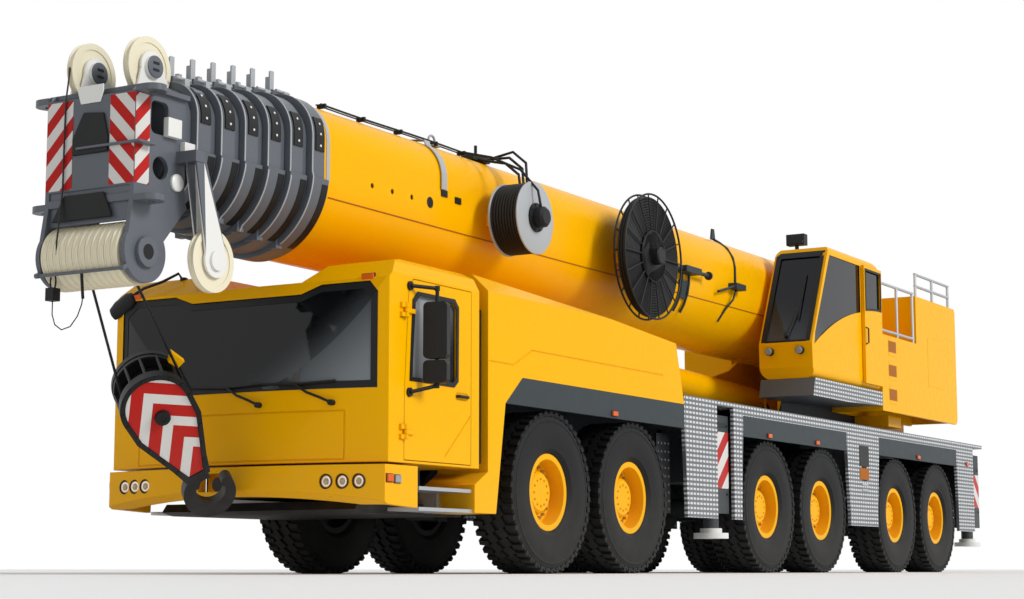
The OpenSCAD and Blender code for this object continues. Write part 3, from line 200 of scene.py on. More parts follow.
def new_group(name, kind, outputs, **inputs):
    """A node group, the sockets of its inputs and its output node; a value also sets its input's kind."""
    group = bpy.data.node_groups.new(name, kind)
    for label, holds in outputs.items():
        group.interface.new_socket(label, in_out="OUTPUT", socket_type="NodeSocket" + holds)
    for label, value in inputs.items():
        if isinstance(value, tuple):
            holds = "Vector" if len(value) == 3 else "Color"
        else:
            holds = SOCKETS[type(value)]
        label = label.replace("_", " ")
        socket = group.interface.new_socket(label, in_out="INPUT", socket_type="NodeSocket" + holds)
        if value is not None:
            socket.default_value = value
    return group, group.nodes.new("NodeGroupInput").outputs, group.nodes.new("NodeGroupOutput")


print("node helpers ready")

# %% [markdown]
# A pale floor and a white world stand for the studio. The world is white to the camera and to
# reflections, and weaker as a light, so that the paint keeps its colour. A wide soft sun on the crane's
# left gives the bright side and the shaded front of the photograph, and a lamp ahead lifts that shade.

# %% Floor and light
FLOOR = 90.0
AMBIENT = 0.41
floor_mesh = bpy.data.meshes.new("floor")
floor_corners = [(-FLOOR, -FLOOR, 0), (FLOOR, -FLOOR, 0), (FLOOR, FLOOR, 0), (-FLOOR, FLOOR, 0)]
floor_mesh.from_pydata(floor_corners, [], [(0, 1, 2, 3)])
floor = bpy.data.objects.new("floor", floor_mesh)
pale_floor, _, shader = new_material("pale_floor")
fill(shader, Base_Color=(0.97, 0.97, 0.97, 1), Roughness=0.7)
floor_mesh.materials.append(pale_floor)
scene.collection.objects.link(floor)
floor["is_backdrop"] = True

world = bpy.data.worlds.new("studio")
scene.world = world
world.use_nodes = True
sky = world.node_tree
path = sky.nodes.new("ShaderNodeLightPath")
seen = path.outputs["Is Camera Ray"]
for kind in ("Is Glossy Ray", "Is Transmission Ray"):
    seen = math_node(sky, "ADD", seen, path.outputs[kind])
level = add_node(sky, "ShaderNodeMapRange", Value=seen, To_Min=AMBIENT, To_Max=1.0)
fill(sky.nodes["Background"], Color=(1, 1, 1, 1), Strength=level.outputs["Result"])


def add_lamp(name, kind, power, place, target):
    data = bpy.data.lights.new(name, kind)
    data.energy = power
    lamp = bpy.data.objects.new(name, data)
    lamp.location = place
    lamp.rotation_euler = (Vector(target) - Vector(place)).to_track_quat("-Z", "Y").to_euler()
    scene.collection.objects.link(lamp)
    return data


add_lamp("key", "SUN", 1.95, (-4.0, 30.0, 20.0), (0, 0, 2)).angle = math.radians(20)
add_lamp("front_fill", "AREA", 350, (32.0, 4.0, 12.0), (6, 0, 2)).size = 10.0
scene.view_settings.view_transform = "Standard"

# %% [markdown]
# ## Finishes
# Fresh paint isn't one flat colour: its tone drifts a little over a large panel, dust gathers low down,
# and the gloss has a fine orange peel. Several finishes share that, so it is one node group that reads
# Object coordinates and puts out a colour, a roughness and a height.

# %% Surface tone group
tone, tone_in, tone_out = new_group(
    "surface_tone", "ShaderNodeTree", {"Color": "Color", "Roughness": "Float", "Height": "Float"},
    Color=(0.8, 0.8, 0.8, 1), Dust_Color=(0.45, 0.42, 0.36, 1), Drift=0.08, Dust=0.15, Roughness=0.3)
place = tone.nodes.new("ShaderNodeTexCoord").outputs["Object"]
broad = noise(tone, place, 0.7)
fine = noise(tone, place, 9.0, 5.0)
peel = noise(tone, place, 60.0, 2.0)
shade = math_node(tone, "MULTIPLY", math_node(tone, "SUBTRACT", broad, 0.5), tone_in["Drift"])
light = math_node(tone, "ADD", shade, 1.0)
grey_level = tone.nodes.new("ShaderNodeCombineColor")
for socket in grey_level.inputs:
    tone.links.new(light, socket)
toned = mix_colour(tone, 1.0, tone_in["Color"], grey_level.outputs[0], "MULTIPLY")
height = add_node(tone, "ShaderNodeSeparateXYZ", Vector=place).outputs["Z"]
patches = math_node(tone, "MULTIPLY", smooth_ramp(tone, height, 1.5, 0.15), fine)
dusty = math_node(tone, "MULTIPLY", patches, tone_in["Dust"], clamp=True)
dusted = mix_colour(tone, dusty, toned, tone_in["Dust Color"])
rough_swing = math_node(tone, "MULTIPLY", math_node(tone, "SUBTRACT", fine, 0.5), 0.12)
rough = math_node(tone, "ADD", math_node(tone, "ADD", rough_swing, tone_in["Roughness"]),
                  math_node(tone, "MULTIPLY", dusty, 0.4), clamp=True)
fill(tone_out, Color=dusted, Roughness=rough, Height=peel)
print("surface_tone nodes:", len(tone.nodes))

# %% [markdown]
# Each finish is one Principled shader fed by that group. The record's slot that the finish belongs to is
# kept with it, so that every piece made later can pass the slot on.

# %% Painted and moulded finishes
def srgb(hex_code):
    """A colour as it looks on screen, turned into the linear values that the shader takes."""
    values = [int(hex_code[i:i + 2], 16) / 255 for i in (0, 2, 4)]
    return (*(v / 12.92 if v <= 0.04045 else ((v + 0.055) / 1.055) ** 2.4 for v in values), 1)


def tone_node(tree, shader, **values):
    """A surface_tone node with these inputs, which gives the shader its roughness."""
    group = tree.nodes.new("ShaderNodeGroup")
    group.node_tree = tone
    fill(shader, Roughness=fill(group, **values).outputs["Roughness"])
    return group


def bump_node(tree, shader, height, strength):
    bump = add_node(tree, "ShaderNodeBump", Strength=strength, Distance=0.01, Height=height)
    fill(shader, Normal=bump.outputs["Normal"])
    return bump


def finish_material(name, colour, slot, roughness, drift, dust, peel, metallic=0.0, coat=0.0, bevel=0.0,
                    specular=0.5):
    material, tree, shader = new_material(name)
    fill(shader, Metallic=metallic, Coat_Weight=coat, Coat_Roughness=0.08, Specular_IOR_Level=specular)
    group = tone_node(tree, shader, Color=srgb(colour), Drift=drift, Dust=dust, Roughness=roughness)
    fill(shader, Base_Color=group.outputs["Color"])
    bump = bump_node(tree, shader, group.outputs["Height"], peel)
    if bevel:
        soft_edge = add_node(tree, "ShaderNodeBevel", Radius=bevel)
        soft_edge.samples = 4
        fill(bump, Normal=soft_edge.outputs["Normal"])
    material["slot"] = slot
    return material


# name, colour, slot, then roughness, drift of the tone, dust and peel
YELLOW = finish_material("yellow_paint", "FAB600", "yellow_paint", 0.28, 0.06, 0.10, 0.015, coat=0.03,
                         bevel=0.012, specular=0.05)
DARK = finish_material("dark_paint", "2E363A", "dark_paint", 0.5, 0.1, 0.2, 0.03, specular=0.25)
GREY = finish_material("grey_paint", "5C6168", "grey_paint", 0.35, 0.12, 0.0, 0.03, bevel=0.008,
                       specular=0.35)
PALE_GREY = finish_material("pale_grey_paint", "A9ADB0", "grey_paint", 0.4, 0.08, 0.0, 0.03)
WHITE = finish_material("white_paint", "E6E6E2", "grey_paint", 0.35, 0.06, 0.0, 0.02)
BLACK = finish_material("black_steel", "131416", "black_steel", 0.45, 0.15, 0.1, 0.05, specular=0.25)
PLASTIC = finish_material("black_plastic", "141517", "black_plastic", 0.5, 0.1, 0.1, 0.12, specular=0.25)
STEEL = finish_material("steel", "B4B7BA", "steel", 0.3, 0.15, 0.1, 0.05, metallic=1.0)
ZINC = finish_material("galvanised_steel", "B9BDC0", "steel", 0.45, 0.35, 0.0, 0.06, metallic=0.85)
CHROME = finish_material("chrome", "DADCDD", "steel", 0.12, 0.05, 0.0, 0.0, metallic=1.0)
NYLON = finish_material("nylon", "E9E1C6", "nylon", 0.4, 0.08, 0.0, 0.03)
SEAT = finish_material("seat_cloth", "24262A", "seat_cloth", 0.85, 0.2, 0.0, 0.5)
RUBBER = finish_material("tyre", "121315", "tyre", 0.62, 0.2, 0.06, 0.15, specular=0.2)
HOSE = finish_material("hose_rubber", "161718", "black_steel", 0.5, 0.1, 0.0, 0.1, specular=0.25)
# Dark ochre is the yellow paint as it looks in shade: painted shade in the vents, also the colour of the weld
# lines and the recess lamps.
SHADE_BROWN = finish_material("shade_brown", "A5601A", "yellow_paint", 0.5, 0.2, 0.0, 0.05, specular=0.1)
print("painted finishes:", len(bpy.data.materials))

# %% [markdown]
# Window glass on such a crane is tinted dark, with a painted reflection: it is painted paler towards one
# corner, where it would mirror the studio. A clear lens and two coloured ones serve the lamps. Metallic and
# transmission stay fixed values, because glass needs them so; only the colour varies.

# %% Glass and lenses
def lens_material(name, colour, transmission, roughness=0.04, glow=0.0, painted_reflection=None):
    """Glass of one colour; its painted reflection is a paler colour, its direction, start and end."""
    material, tree, shader = new_material(name)
    fill(shader, Roughness=roughness, Transmission_Weight=transmission, IOR=1.45, Specular_IOR_Level=0.25,
         Emission_Strength=glow, Emission_Color=srgb(colour))
    where = tree.nodes.new("ShaderNodeTexCoord").outputs["Object"]
    darker = tuple(0.75 * c for c in srgb(colour)[:3]) + (1,)
    tint = mix_colour(tree, noise(tree, where, 1.3), darker, srgb(colour))
    # Painted reflection: the glass is painted paler along one direction, where it would mirror the studio.
    if painted_reflection:
        pale, direction, start, end = painted_reflection
        reach = distance_along(tree, where, Vector(direction).normalized())
        tint = mix_colour(tree, smooth_ramp(tree, reach, start, end), tint, srgb(pale))
    fill(shader, Base_Color=tint)
    material["slot"] = "glass"
    return material


GLASS = lens_material("glass", "0B0E13", 0.25, painted_reflection=("8B9398", (0, 0.6, -0.8), -1.25, -0.42))
CAB_GLASS = lens_material("crane_glass", "0E131E", 0.25, painted_reflection=("5C6878", (0.5, -0.3, -0.8), -4.4, -3.2))
SIDE_GLASS = lens_material("side_glass", "33383C", 0.25, painted_reflection=("B4BABE", (0.75, 0, 0.66), 5.55, 6.45))
CLEAR = lens_material("clear_lens", "E8ECEE", 0.6, 0.05)
ORANGE = lens_material("orange_lens", "E8641A", 0.1, 0.15, 0.1)
RED_LENS = lens_material("red_lens", "B81A14", 0.1, 0.15, 0.1)
print("glass finishes: 6")

# %% [markdown]
# The aluminium panels carry chequer plate: rows of short raised bars over a darker ground, the bars
# painted pale as a painted highlight where they catch the light. The pattern is worked out from Object
# coordinates, on the X-Y plane for the deck and the X-Z plane for the side panels, and feeds the height
# and the colour.

# %% Chequer plate
def chequer_material(name, length, pitch):
    material, tree, shader = new_material(name)
    where = tree.nodes.new("ShaderNodeTexCoord").outputs["Object"]
    split = add_node(tree, "ShaderNodeSeparateXYZ", Vector=where)
    normal = tree.nodes.new("ShaderNodeNewGeometry").outputs["True Normal"]
    facing = add_node(tree, "ShaderNodeSeparateXYZ", Vector=normal)
    flat = math_node(tree, "GREATER_THAN", math_node(tree, "ABSOLUTE", facing.outputs["Z"]), 0.7)
    upright = math_node(tree, "ADD", math_node(tree, "MULTIPLY", split.outputs["Y"], flat),
                        math_node(tree, "MULTIPLY", split.outputs["Z"],
                                  math_node(tree, "SUBTRACT", 1.0, flat)))
    edges = []
    for value, size, half in ((split.outputs["X"], length, 0.41), (upright, pitch, 0.30)):
        cell = math_node(tree, "SUBTRACT", math_node(tree, "FRACT", math_node(tree, "DIVIDE", value, size)),
                         0.5)
        off = math_node(tree, "SUBTRACT", half, math_node(tree, "ABSOLUTE", cell))
        edges.append(math_node(tree, "MULTIPLY", off, 9.0, clamp=True))
    bar = math_node(tree, "MULTIPLY", *edges)
    bump_node(tree, shader, bar, 0.7)
    group = tone_node(tree, shader, Color=srgb("666A6E"), Roughness=0.4, Dust=0.15, Drift=0.3)
    # The raised bars are painted pale: a painted highlight.
    bright = mix_colour(tree, bar, group.outputs["Color"], srgb("D9DCDE"))
    fill(shader, Base_Color=bright, Metallic=0.2)
    material["slot"] = "chequer_plate"
    return material


CHEQUER = chequer_material("chequer_plate", 0.080, 0.050)
print("chequer nodes:", len(CHEQUER.node_tree.nodes))

# %% [markdown]
# Reflective warning stripes are red and white bands at a slant. A slant is a direction and a distance along
# it; where two slants are given, the nearer one wins, and the bands meet in a chevron.

# %% Warning stripes
def stripe_material(name, period, *slants, share=0.5):
    material, tree, shader = new_material(name)
    where = tree.nodes.new("ShaderNodeTexCoord").outputs["Object"]
    reach = None
    for direction, offset in slants:
        place = distance_along(tree, where, Vector(direction).normalized() / period)
        value = math_node(tree, "SUBTRACT", place, offset / period)
        reach = value if reach is None else math_node(tree, "MINIMUM", reach, value)
    band = math_node(tree, "GREATER_THAN", math_node(tree, "FRACT", reach), share)
    colour = mix_colour(tree, band, srgb("D9D7D3"), srgb("B8231E"))
    group = tone_node(tree, shader, Roughness=0.3, Color=colour)
    fill(shader, Base_Color=group.outputs["Color"], Specular_IOR_Level=0.1)
    material["slot"] = "grey_paint"
    return material


print("materials so far:", len(bpy.data.materials))

# %% [markdown]
# ## Tools for making pieces
# Most fittings on a crane are cut plate, round bar and bent tube. These helpers add such shapes to one
# bmesh, and `piece` turns the bmesh into an object that rides on a body of the frame.

# %% Shapes
def add_box(bm, low, high, material=0):
    corners = [(x, y, z) for x in (low[0], high[0]) for y in (low[1], high[1]) for z in (low[2], high[2])]
    verts = [bm.verts.new(c) for c in corners]
    for quad in ((0, 1, 3, 2), (4, 6, 7, 5), (0, 4, 5, 1), (2, 3, 7, 6), (0, 2, 6, 4), (1, 5, 7, 3)):
        bm.faces.new([verts[i] for i in quad]).material_index = material


def add_side_box(bm, sign, x, y, z):
    """A box from its ranges, with y counted from the middle towards the left (1) or right (-1) side."""
    y = sorted(sign * v for v in y)
    add_box(bm, (x[0], y[0], z[0]), (x[1], y[1], z[1]))


def about(middle, half):
    return middle - half, middle + half


def add_slab(bm, outline, depth, material=0):
    """A plate: a flat outline in space, and the vector of its thickness."""
    near = [bm.verts.new(p) for p in outline]
    far = [bm.verts.new(Vector(p) + Vector(depth)) for p in outline]
    faces = [bm.faces.new(near), bm.faces.new(far[::-1])]
    for i, j in zip(range(len(near)), list(range(1, len(near))) + [0]):
        faces.append(bm.faces.new((near[j], near[i], far[i], far[j])))
    for face in faces:
        face.material_index = material


def bridge(bm, rings, material, capped):
    """Faces between each ring of vertices and the next, and over the first and last where capped."""
    for a, b in zip(rings, rings[1:]):
        for i in range(len(a)):
            j = (i + 1) % len(a)
            bm.faces.new((a[i], a[j], b[j], b[i])).material_index = material
    for ring in (rings[0], rings[-1]) if capped else ():
        bm.faces.new(ring).material_index = material


def add_lathe(bm, profile, centre, axis, sides=32, material=0, capped=True):
    """A turned shape: (radius, distance along the axis) points, spun round the axis."""
    turn = Vector(axis).to_track_quat("Z", "Y").to_matrix()
    rings = []
    for radius, along in profile:
        points = [Vector((u, v, along)) for u, v in circle(sides, radius)]
        rings.append([bm.verts.new(Vector(centre) + turn @ p) for p in points])
    bridge(bm, rings, material, capped)


def circle(count, radius=1.0, closed=False):
    """Points of a circle as (cosine, sine) pairs; a closed one repeats its first point."""
    steps = [2 * math.pi * i / count for i in range(count + closed)]
    return [(radius * math.cos(t), radius * math.sin(t)) for t in steps]


def add_rod(bm, a, b, radius, sides=16, material=0):
    a, b = Vector(a), Vector(b)
    add_lathe(bm, [(radius, 0), (radius, (b - a).length)], a, b - a, sides, material)


def add_pipe(bm, points, radius, sides=8, material=0):
    """A bent tube through the points, with one ring of vertices at each."""
    points = [Vector(p) for p in points]
    rings, side = [], None
    for i, p in enumerate(points):
        ahead = (points[min(i + 1, len(points) - 1)] - points[max(i - 1, 0)]).normalized()
        if side is None:
            side = ahead.orthogonal().normalized()
        side = (side - ahead * side.dot(ahead)).normalized()
        other = ahead.cross(side)
        rings.append([bm.verts.new(p + side * u + other * v) for u, v in circle(sides, radius)])
    bridge(bm, rings, material, True)


def smooth(mesh, angle=35):
    mesh.polygons.foreach_set("use_smooth", [True] * len(mesh.polygons))
    mesh.set_sharp_from_angle(angle=math.radians(angle))


def piece(name, bm, body, *materials, bevel=0.0):
    """Turns a bmesh into a piece of the crane that rides on a body."""
    bmesh.ops.recalc_face_normals(bm, faces=bm.faces)
    mesh = bpy.data.meshes.new(name)
    bm.to_mesh(mesh)
    bm.free()
    for material in materials:
        mesh.materials.append(material)
    smooth(mesh)
    made = bpy.data.objects.new(name, mesh)
    scene.collection.objects.link(made)
    if bevel:
        edge = made.modifiers.new("edges", "BEVEL")
        edge.width = bevel
        edge.segments = 2
        edge.limit_method = "ANGLE"
    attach(made, body)
    return made


def on_both(maker):
    """Calls a maker for the left side and for the right side."""
    for side, sign in (("left", 1), ("right", -1)):
        maker(side, sign)


print("helpers ready")

# %% [markdown]
# ## Repeated fittings with Geometry Nodes
# Tread blocks and wheel nuts stand in rings, the dots of a perforated plate in rows, and hose and rope lie
# in coils. Each is one small tree with named inputs. The result is turned into a plain mesh, because the
# exported model can't keep instances.

# %% Trees for rings, rows and coils
GEOMETRY = ("GeometryNodeTree", {"Geometry": "Geometry"})


def realise(tree, given, wanted, points, instance, **values):
    """Ends a tree: a copy stands on each point, becomes plain mesh and gets its material."""
    placed = add_node(tree, "GeometryNodeInstanceOnPoints", Points=points, Instance=instance, **values)
    solid = add_node(tree, "GeometryNodeRealizeInstances", Geometry=placed.outputs[0])
    painted = add_node(tree, "GeometryNodeSetMaterial", Geometry=solid.outputs[0], Material=given["Material"])
    fill(wanted, Geometry=painted.outputs[0])


ring_tree, given, wanted = new_group(
    "ring_of_blocks", *GEOMETRY, Count=12, Radius=1.0, Size=(0.1, 0.1, 0.1), Skew=0.0, Lean=0.0,
    Hexagonal=False, Material=None)
spots = add_node(ring_tree, "GeometryNodeMeshCircle", Vertices=given["Count"], Radius=given["Radius"])
step = math_node(ring_tree, "DIVIDE", 2 * math.pi, given["Count"])
angle = math_node(ring_tree, "MULTIPLY", ring_tree.nodes.new("GeometryNodeInputIndex").outputs[0], step)
turn = add_node(ring_tree, "ShaderNodeCombineXYZ", X=given["Skew"], Y=given["Lean"], Z=angle)
block = add_node(ring_tree, "GeometryNodeMeshCube", Size=given["Size"])
sizes = add_node(ring_tree, "ShaderNodeSeparateXYZ", Vector=given["Size"]).outputs
nut = add_node(ring_tree, "GeometryNodeMeshCylinder", Vertices=6, Radius=sizes["X"], Depth=sizes["Z"])
choice = ring_tree.nodes.new("GeometryNodeSwitch")
choice.input_type = "GEOMETRY"
for socket, value in zip(choice.inputs, (given["Hexagonal"], block.outputs["Mesh"], nut.outputs["Mesh"])):
    ring_tree.links.new(value, socket)
realise(ring_tree, given, wanted, spots.outputs[0], choice.outputs[0], Rotation=turn.outputs[0])

row_tree, given, wanted = new_group(
    "row_of_bolts", *GEOMETRY, Count=3, Start=(0.0, 0.0, 0.0), Step=(0.1, 0.0, 0.0), Radius=0.02, Height=0.02,
    Sides=6, Turn=(0.0, 0.0, 0.0), Material=None)
line = add_node(row_tree, "GeometryNodeMeshLine", Count=given["Count"], Start_Location=given["Start"],
                Offset=given["Step"])
bolt = add_node(row_tree, "GeometryNodeMeshCylinder", Vertices=given["Sides"], Radius=given["Radius"],
                Depth=given["Height"])
realise(row_tree, given, wanted, line.outputs[0], bolt.outputs["Mesh"], Rotation=given["Turn"])

coil_tree, given, wanted = new_group(
    "coil_of_hose", *GEOMETRY, Turns=8, Radius=0.3, Pitch=0.02, Thickness=0.01, Material=None)
pitch = add_node(coil_tree, "ShaderNodeCombineXYZ", Z=given["Pitch"])
line = add_node(coil_tree, "GeometryNodeMeshLine", Count=given["Turns"], Offset=pitch.outputs[0])
loop = add_node(coil_tree, "GeometryNodeCurvePrimitiveCircle", Resolution=48, Radius=given["Radius"])
section = add_node(coil_tree, "GeometryNodeCurvePrimitiveCircle", Resolution=8, Radius=given["Thickness"])
tube = add_node(coil_tree, "GeometryNodeCurveToMesh", Curve=loop.outputs[0], Profile_Curve=section.outputs[0])
realise(coil_tree, given, wanted, line.outputs[0], tube.outputs[0])


def grown(tree, **values):
    """The plain mesh that a tree makes with these inputs, around the Z axis at the origin."""
    holder = bpy.data.objects.new("holder", bpy.data.meshes.new("holder"))
    scene.collection.objects.link(holder)
    modifier = holder.modifiers.new("nodes", "NODES")
    modifier.node_group = tree
    for item in tree.interface.items_tree:
        if item.in_out == "INPUT" and item.name in values:
            modifier[item.identifier] = values[item.name]
    holder.update_tag()
    bpy.context.view_layer.update()
    depsgraph = bpy.context.evaluated_depsgraph_get()
    mesh = bpy.data.meshes.new_from_object(holder.evaluated_get(depsgraph), depsgraph=depsgraph)
    holder.modifiers.remove(modifier)
    bpy.data.objects.remove(holder)
    return mesh


def add_mesh(bm, mesh, matrix, material=0):
    """Adds a grown mesh to a bmesh, moved to its place, all in one material."""
    mesh = mesh.copy()
    mesh.transform(matrix)
    first = len(bm.faces)
    bm.from_mesh(mesh)
    bm.faces.ensure_lookup_table()
    for face in bm.faces[first:]:
        face.material_index = material
    bpy.data.meshes.remove(mesh)


def facing(place, axis):
    """The matrix that carries the Z axis at the origin to a place, pointing along axis."""
    return Matrix.Translation(Vector(place)) @ Vector(axis).to_track_quat("Z", "Y").to_matrix().to_4x4()


print("trees:", [t.name for t in bpy.data.node_groups])

# %% [markdown]
# ## Finishes on the CAD pieces
# A CAD piece keeps its mesh. Its triangles are sorted by where they lie, so that one casting can be part
# paint, part zinc, part black pad.

# %% Dress the CAD nodes
def dress(node, base, *rules):
    """Gives a node its finishes: base all over, then each finish where its test on X, Y, Z holds."""
    mesh = nodes[node].data
    mesh.materials.clear()
    for material in (base, *(finish for finish, _ in rules)):
        mesh.materials.append(material)
    centres = np.empty(len(mesh.polygons) * 3)
    mesh.polygons.foreach_get("center", centres)
    x, y, z = centres.reshape(-1, 3).T
    index = np.zeros(len(mesh.polygons), dtype=np.int32)
    for k, (_, test) in enumerate(rules, 1):
        index[test(x, y, z)] = k
    mesh.polygons.foreach_set("material_index", index)


YELLOW_NODES = ["cab_shell", "engine_hood", "cab_door_left", "cab_door_right", "crane_cab_door",
                "lift_barrel", "front_bumper"]
DARK_NODES = ["chassis_frame", "axle_beams", "engine_block", "mudguards"]
JACK_BOX_Y, FOOT_TOP = 1.119, 0.55
DECK_LOW, DECK_HIGH, DECK_REAR = 2.1, 2.345, SLEW_X - 0.85
for node in YELLOW_NODES:
    dress(node, YELLOW)
for node in DARK_NODES + [n for n in nodes if n.startswith("knuckle")]:
    dress(node, DARK)
for node in ("mirror_left", "mirror_right"):
    dress(node, PLASTIC)
for node in [n for n in nodes if n.startswith("leg_beam")]:
    dress(node, YELLOW, (DARK, lambda x, y, z: np.abs(y) > JACK_BOX_Y))
for node in [n for n in nodes if n.startswith("leg_jack")]:
    dress(node, DARK, (WHITE, lambda x, y, z: z < FOOT_TOP))
dress("lift_rod", CHROME)
dress("side_skirts", CHEQUER, (ZINC, lambda x, y, z: (x > AXLE_X[1] + 1.3)))
dress("cab_glass", GLASS)
dress("crane_cab_glass", CAB_GLASS)
dress("head_sheaves", NYLON)
dress("hose_reels", BLACK, (GREY, lambda x, y, z: (x > AXLE_X[1] - 1.0) & (y < 1.14)))
dress("cab_interior", PLASTIC, (SEAT, lambda x, y, z: x < CAB_REAR + 0.9))
dress("crane_cab_interior", PLASTIC, (SEAT, lambda x, y, z: x < CRANE_CAB_REAR + 0.95))
# Dark paint low on the platform's front, under the crane cab, is painted shade.
dress("slew_platform", YELLOW, (DARK, lambda x, y, z: (z < DECK_LOW) & (x > SLEW_X - 1.6)),
      (GREY, lambda x, y, z: (y > 0.73) & (z > DECK_LOW) & (z < DECK_HIGH) & (x > DECK_REAR)),
      (CHEQUER, lambda x, y, z: (
          (y > CRANE_CAB_OUT - 0.004) & (z > DECK_LOW) & (z < DECK_HIGH) & (x > DECK_REAR))),
      (STEEL, lambda x, y, z: (x < TAIL_X + 1.1) & (abs(y) < 0.62) & (z > 2.2)))
BAY_X, BAY_Z = CRANE_CAB_REAR - 0.06 - 1.38, 3.11
dress("rear_housing", YELLOW, (ZINC, lambda x, y, z: (
    (z > HOUSING_TOP + 0.005) | ((x > BAY_X + 0.005) & (z > BAY_Z + 0.005) & (abs(y) > 1.3)))))
dress("crane_cab_shell", YELLOW,
      (PLASTIC, lambda x, y, z: (z > CRANE_CAB_ROOF + 0.003) | (x > CRANE_CAB_FRONT + 0.003)))
dress("hook_block", BLACK)


def section_node(i):
    return f"boom_section_{i}" if i else "boom_base"


def section_body(i):
    return f"boom_section_{i}" if i else "boom"


PAD = 0.030
for i in range(7):
    half, front = BOOM_HALF_W - SECTION_STEP * i, SECTION_FRONT[i]
    post_foot = BOOM_Z + BOOM_HALF_H - SECTION_STEP * i + 0.08
    node = section_node(i)
    pads = (BLACK, lambda x, y, z, h=half, f=front: (
        (x > f - 0.17) & (x < f - 0.04) & (z > BOOM_Z + 0.165) & (z < BOOM_Z + 0.465) & (np.abs(y) > h * 0.7)
        & (np.abs(y) > h + PAD - 0.004 - 0.35 * np.clip(z - BOOM_Z - 0.25, 0, 1))))
    posts = (PALE_GREY, lambda x, y, z, f=front, low=post_foot: (z > low) & (x > f - 0.08) & (x < f))
    if i == 0:
        dress(node, YELLOW, (GREY, lambda x, y, z, f=front: x > f - 0.2302), pads, posts)
    elif i < 6:
        dress(node, GREY, pads, posts)
    else:
        dress(node, GREY, (WHITE, lambda x, y, z: (z > HEAD_TOP + 0.002) & (x > 8.1) & (np.abs(y) < 0.42)),
              (WHITE, lambda x, y, z: (y > 0.52) & (z < 2.75)))
print("dressed", len(nodes), "CAD nodes")

# %% [markdown]
# ## Wheels
# A crane tyre is a wide carcass with deep blocks across the tread and more on the shoulders. The carcass
# is turned from a profile, the blocks and nuts are rings of instances, and the rim is a copy of the CAD
# rim, painted yellow on the outside and black on the inside as painted shade. The three together replace
# the plain CAD wheel.

# %% Tyre, tread and nuts
TYRE_R = AXLE_Z
RIM_R = 0.3552
TREAD_DEPTH = 0.026
side_profile = [(0.318, 0.150), (0.3560, 0.1560), (0.3575, 0.1740), (0.372, 0.190), (0.395, 0.202),
                (0.400, 0.2065), (0.412, 0.2075), (0.470, 0.2175), (0.540, 0.2225), (0.600, 0.2210),
                (0.640, 0.2180), (0.644, 0.2205), (0.656, 0.2200), (0.660, 0.2150), (0.690, 0.2070),
                (0.708, 0.196), (0.717, 0.172)]
tread_base = TYRE_R - TREAD_DEPTH
tread = [(tread_base, -0.12), (tread_base + 0.002, 0.0), (tread_base, 0.12)]
profile = [(r, -y) for r, y in side_profile] + tread + side_profile[::-1]
shape = bmesh.new()
add_lathe(shape, profile, (0, 0, 0), (0, 1, 0), 96, capped=False)

# Each row of blocks: place across the tread, (depth, length around, width), skew, turn in parts of a step.
BLOCKS = 46
OUTER_BLOCK, INNER_BLOCK = (0.046, 0.051, 0.098), (0.040, 0.0935, 0.086)
rows = [(-0.165, OUTER_BLOCK, -0.10, 0.0), (-0.060, INNER_BLOCK, 0.45, 0.5),
        (0.060, INNER_BLOCK, 0.45, 0.0), (0.165, OUTER_BLOCK, -0.10, 0.5)]
for across, size, skew, phase in rows:
    blocks = grown(ring_tree, Count=BLOCKS, Radius=TYRE_R - size[0] / 2, Size=size, Skew=skew,
                   Material=RUBBER)
    spin = Matrix.Rotation(phase * 2 * math.pi / BLOCKS, 4, "Z")
    add_mesh(shape, blocks, facing((0, across, 0), (0, 1, 0)) @ spin)
for sign in (-1, 1):
    shoulder = grown(ring_tree, Count=BLOCKS, Radius=TYRE_R - 0.046, Size=(0.062, 0.042, 0.016),
                     Lean=-sign * 0.42, Material=RUBBER)
    add_mesh(shape, shoulder, facing((0, sign * 0.1985, 0), (0, 1, 0)))
nuts = grown(ring_tree, Count=20, Radius=0.243, Size=(0.017, 0.017, 0.030), Hexagonal=True, Material=STEEL)
add_mesh(shape, nuts, facing((0, 0.032, 0), (0, 1, 0)), 2)
hub_bolts = grown(ring_tree, Count=12, Radius=0.125, Size=(0.010, 0.010, 0.014), Hexagonal=True,
                  Material=STEEL)
add_mesh(shape, hub_bolts, facing((0, 0.098, 0), (0, 1, 0)), 1)
bmesh.ops.recalc_face_normals(shape, faces=shape.faces)
print("tyre faces:", len(shape.faces))

# %% Rim copy and the twelve wheels
def rim_faces(node, centre):
    """The rim of a CAD wheel as loose faces about its own centre: everything inside the bead seat."""
    mesh = nodes[node].data
    kept = []
    for polygon in mesh.polygons:
        points = [mesh.vertices[i].co - centre for i in polygon.vertices]
        if max(math.hypot(p.x, p.z) for p in points) <= RIM_R:
            kept.append(points)
    return kept


rim = rim_faces("wheel_1_left", Vector((AXLE_X[1], WHEEL_Y, AXLE_Z)))
rim_mesh = bmesh.new()
for points in rim:
    rim_mesh.faces.new([rim_mesh.verts.new(p) for p in points])
bmesh.ops.remove_doubles(rim_mesh, verts=rim_mesh.verts, dist=0.0002)
rim_temp = bpy.data.meshes.new("rim")
rim_mesh.to_mesh(rim_temp)
first = len(shape.faces)
add_mesh(shape, rim_temp, Matrix.Identity(4), 1)
shape.faces.ensure_lookup_table()
for face in shape.faces[first:]:
    # Faces turned inward are painted black: painted shade on the rim's inner side.
    inward = face.normal.y < -0.3 or face.calc_center_median().y < -0.06
    face.material_index = 3 if inward else 1
wheel_mesh = bpy.data.meshes.new("wheel")
shape.to_mesh(wheel_mesh)
for material in (RUBBER, YELLOW, STEEL, BLACK):
    wheel_mesh.materials.append(material)
smooth(wheel_mesh)


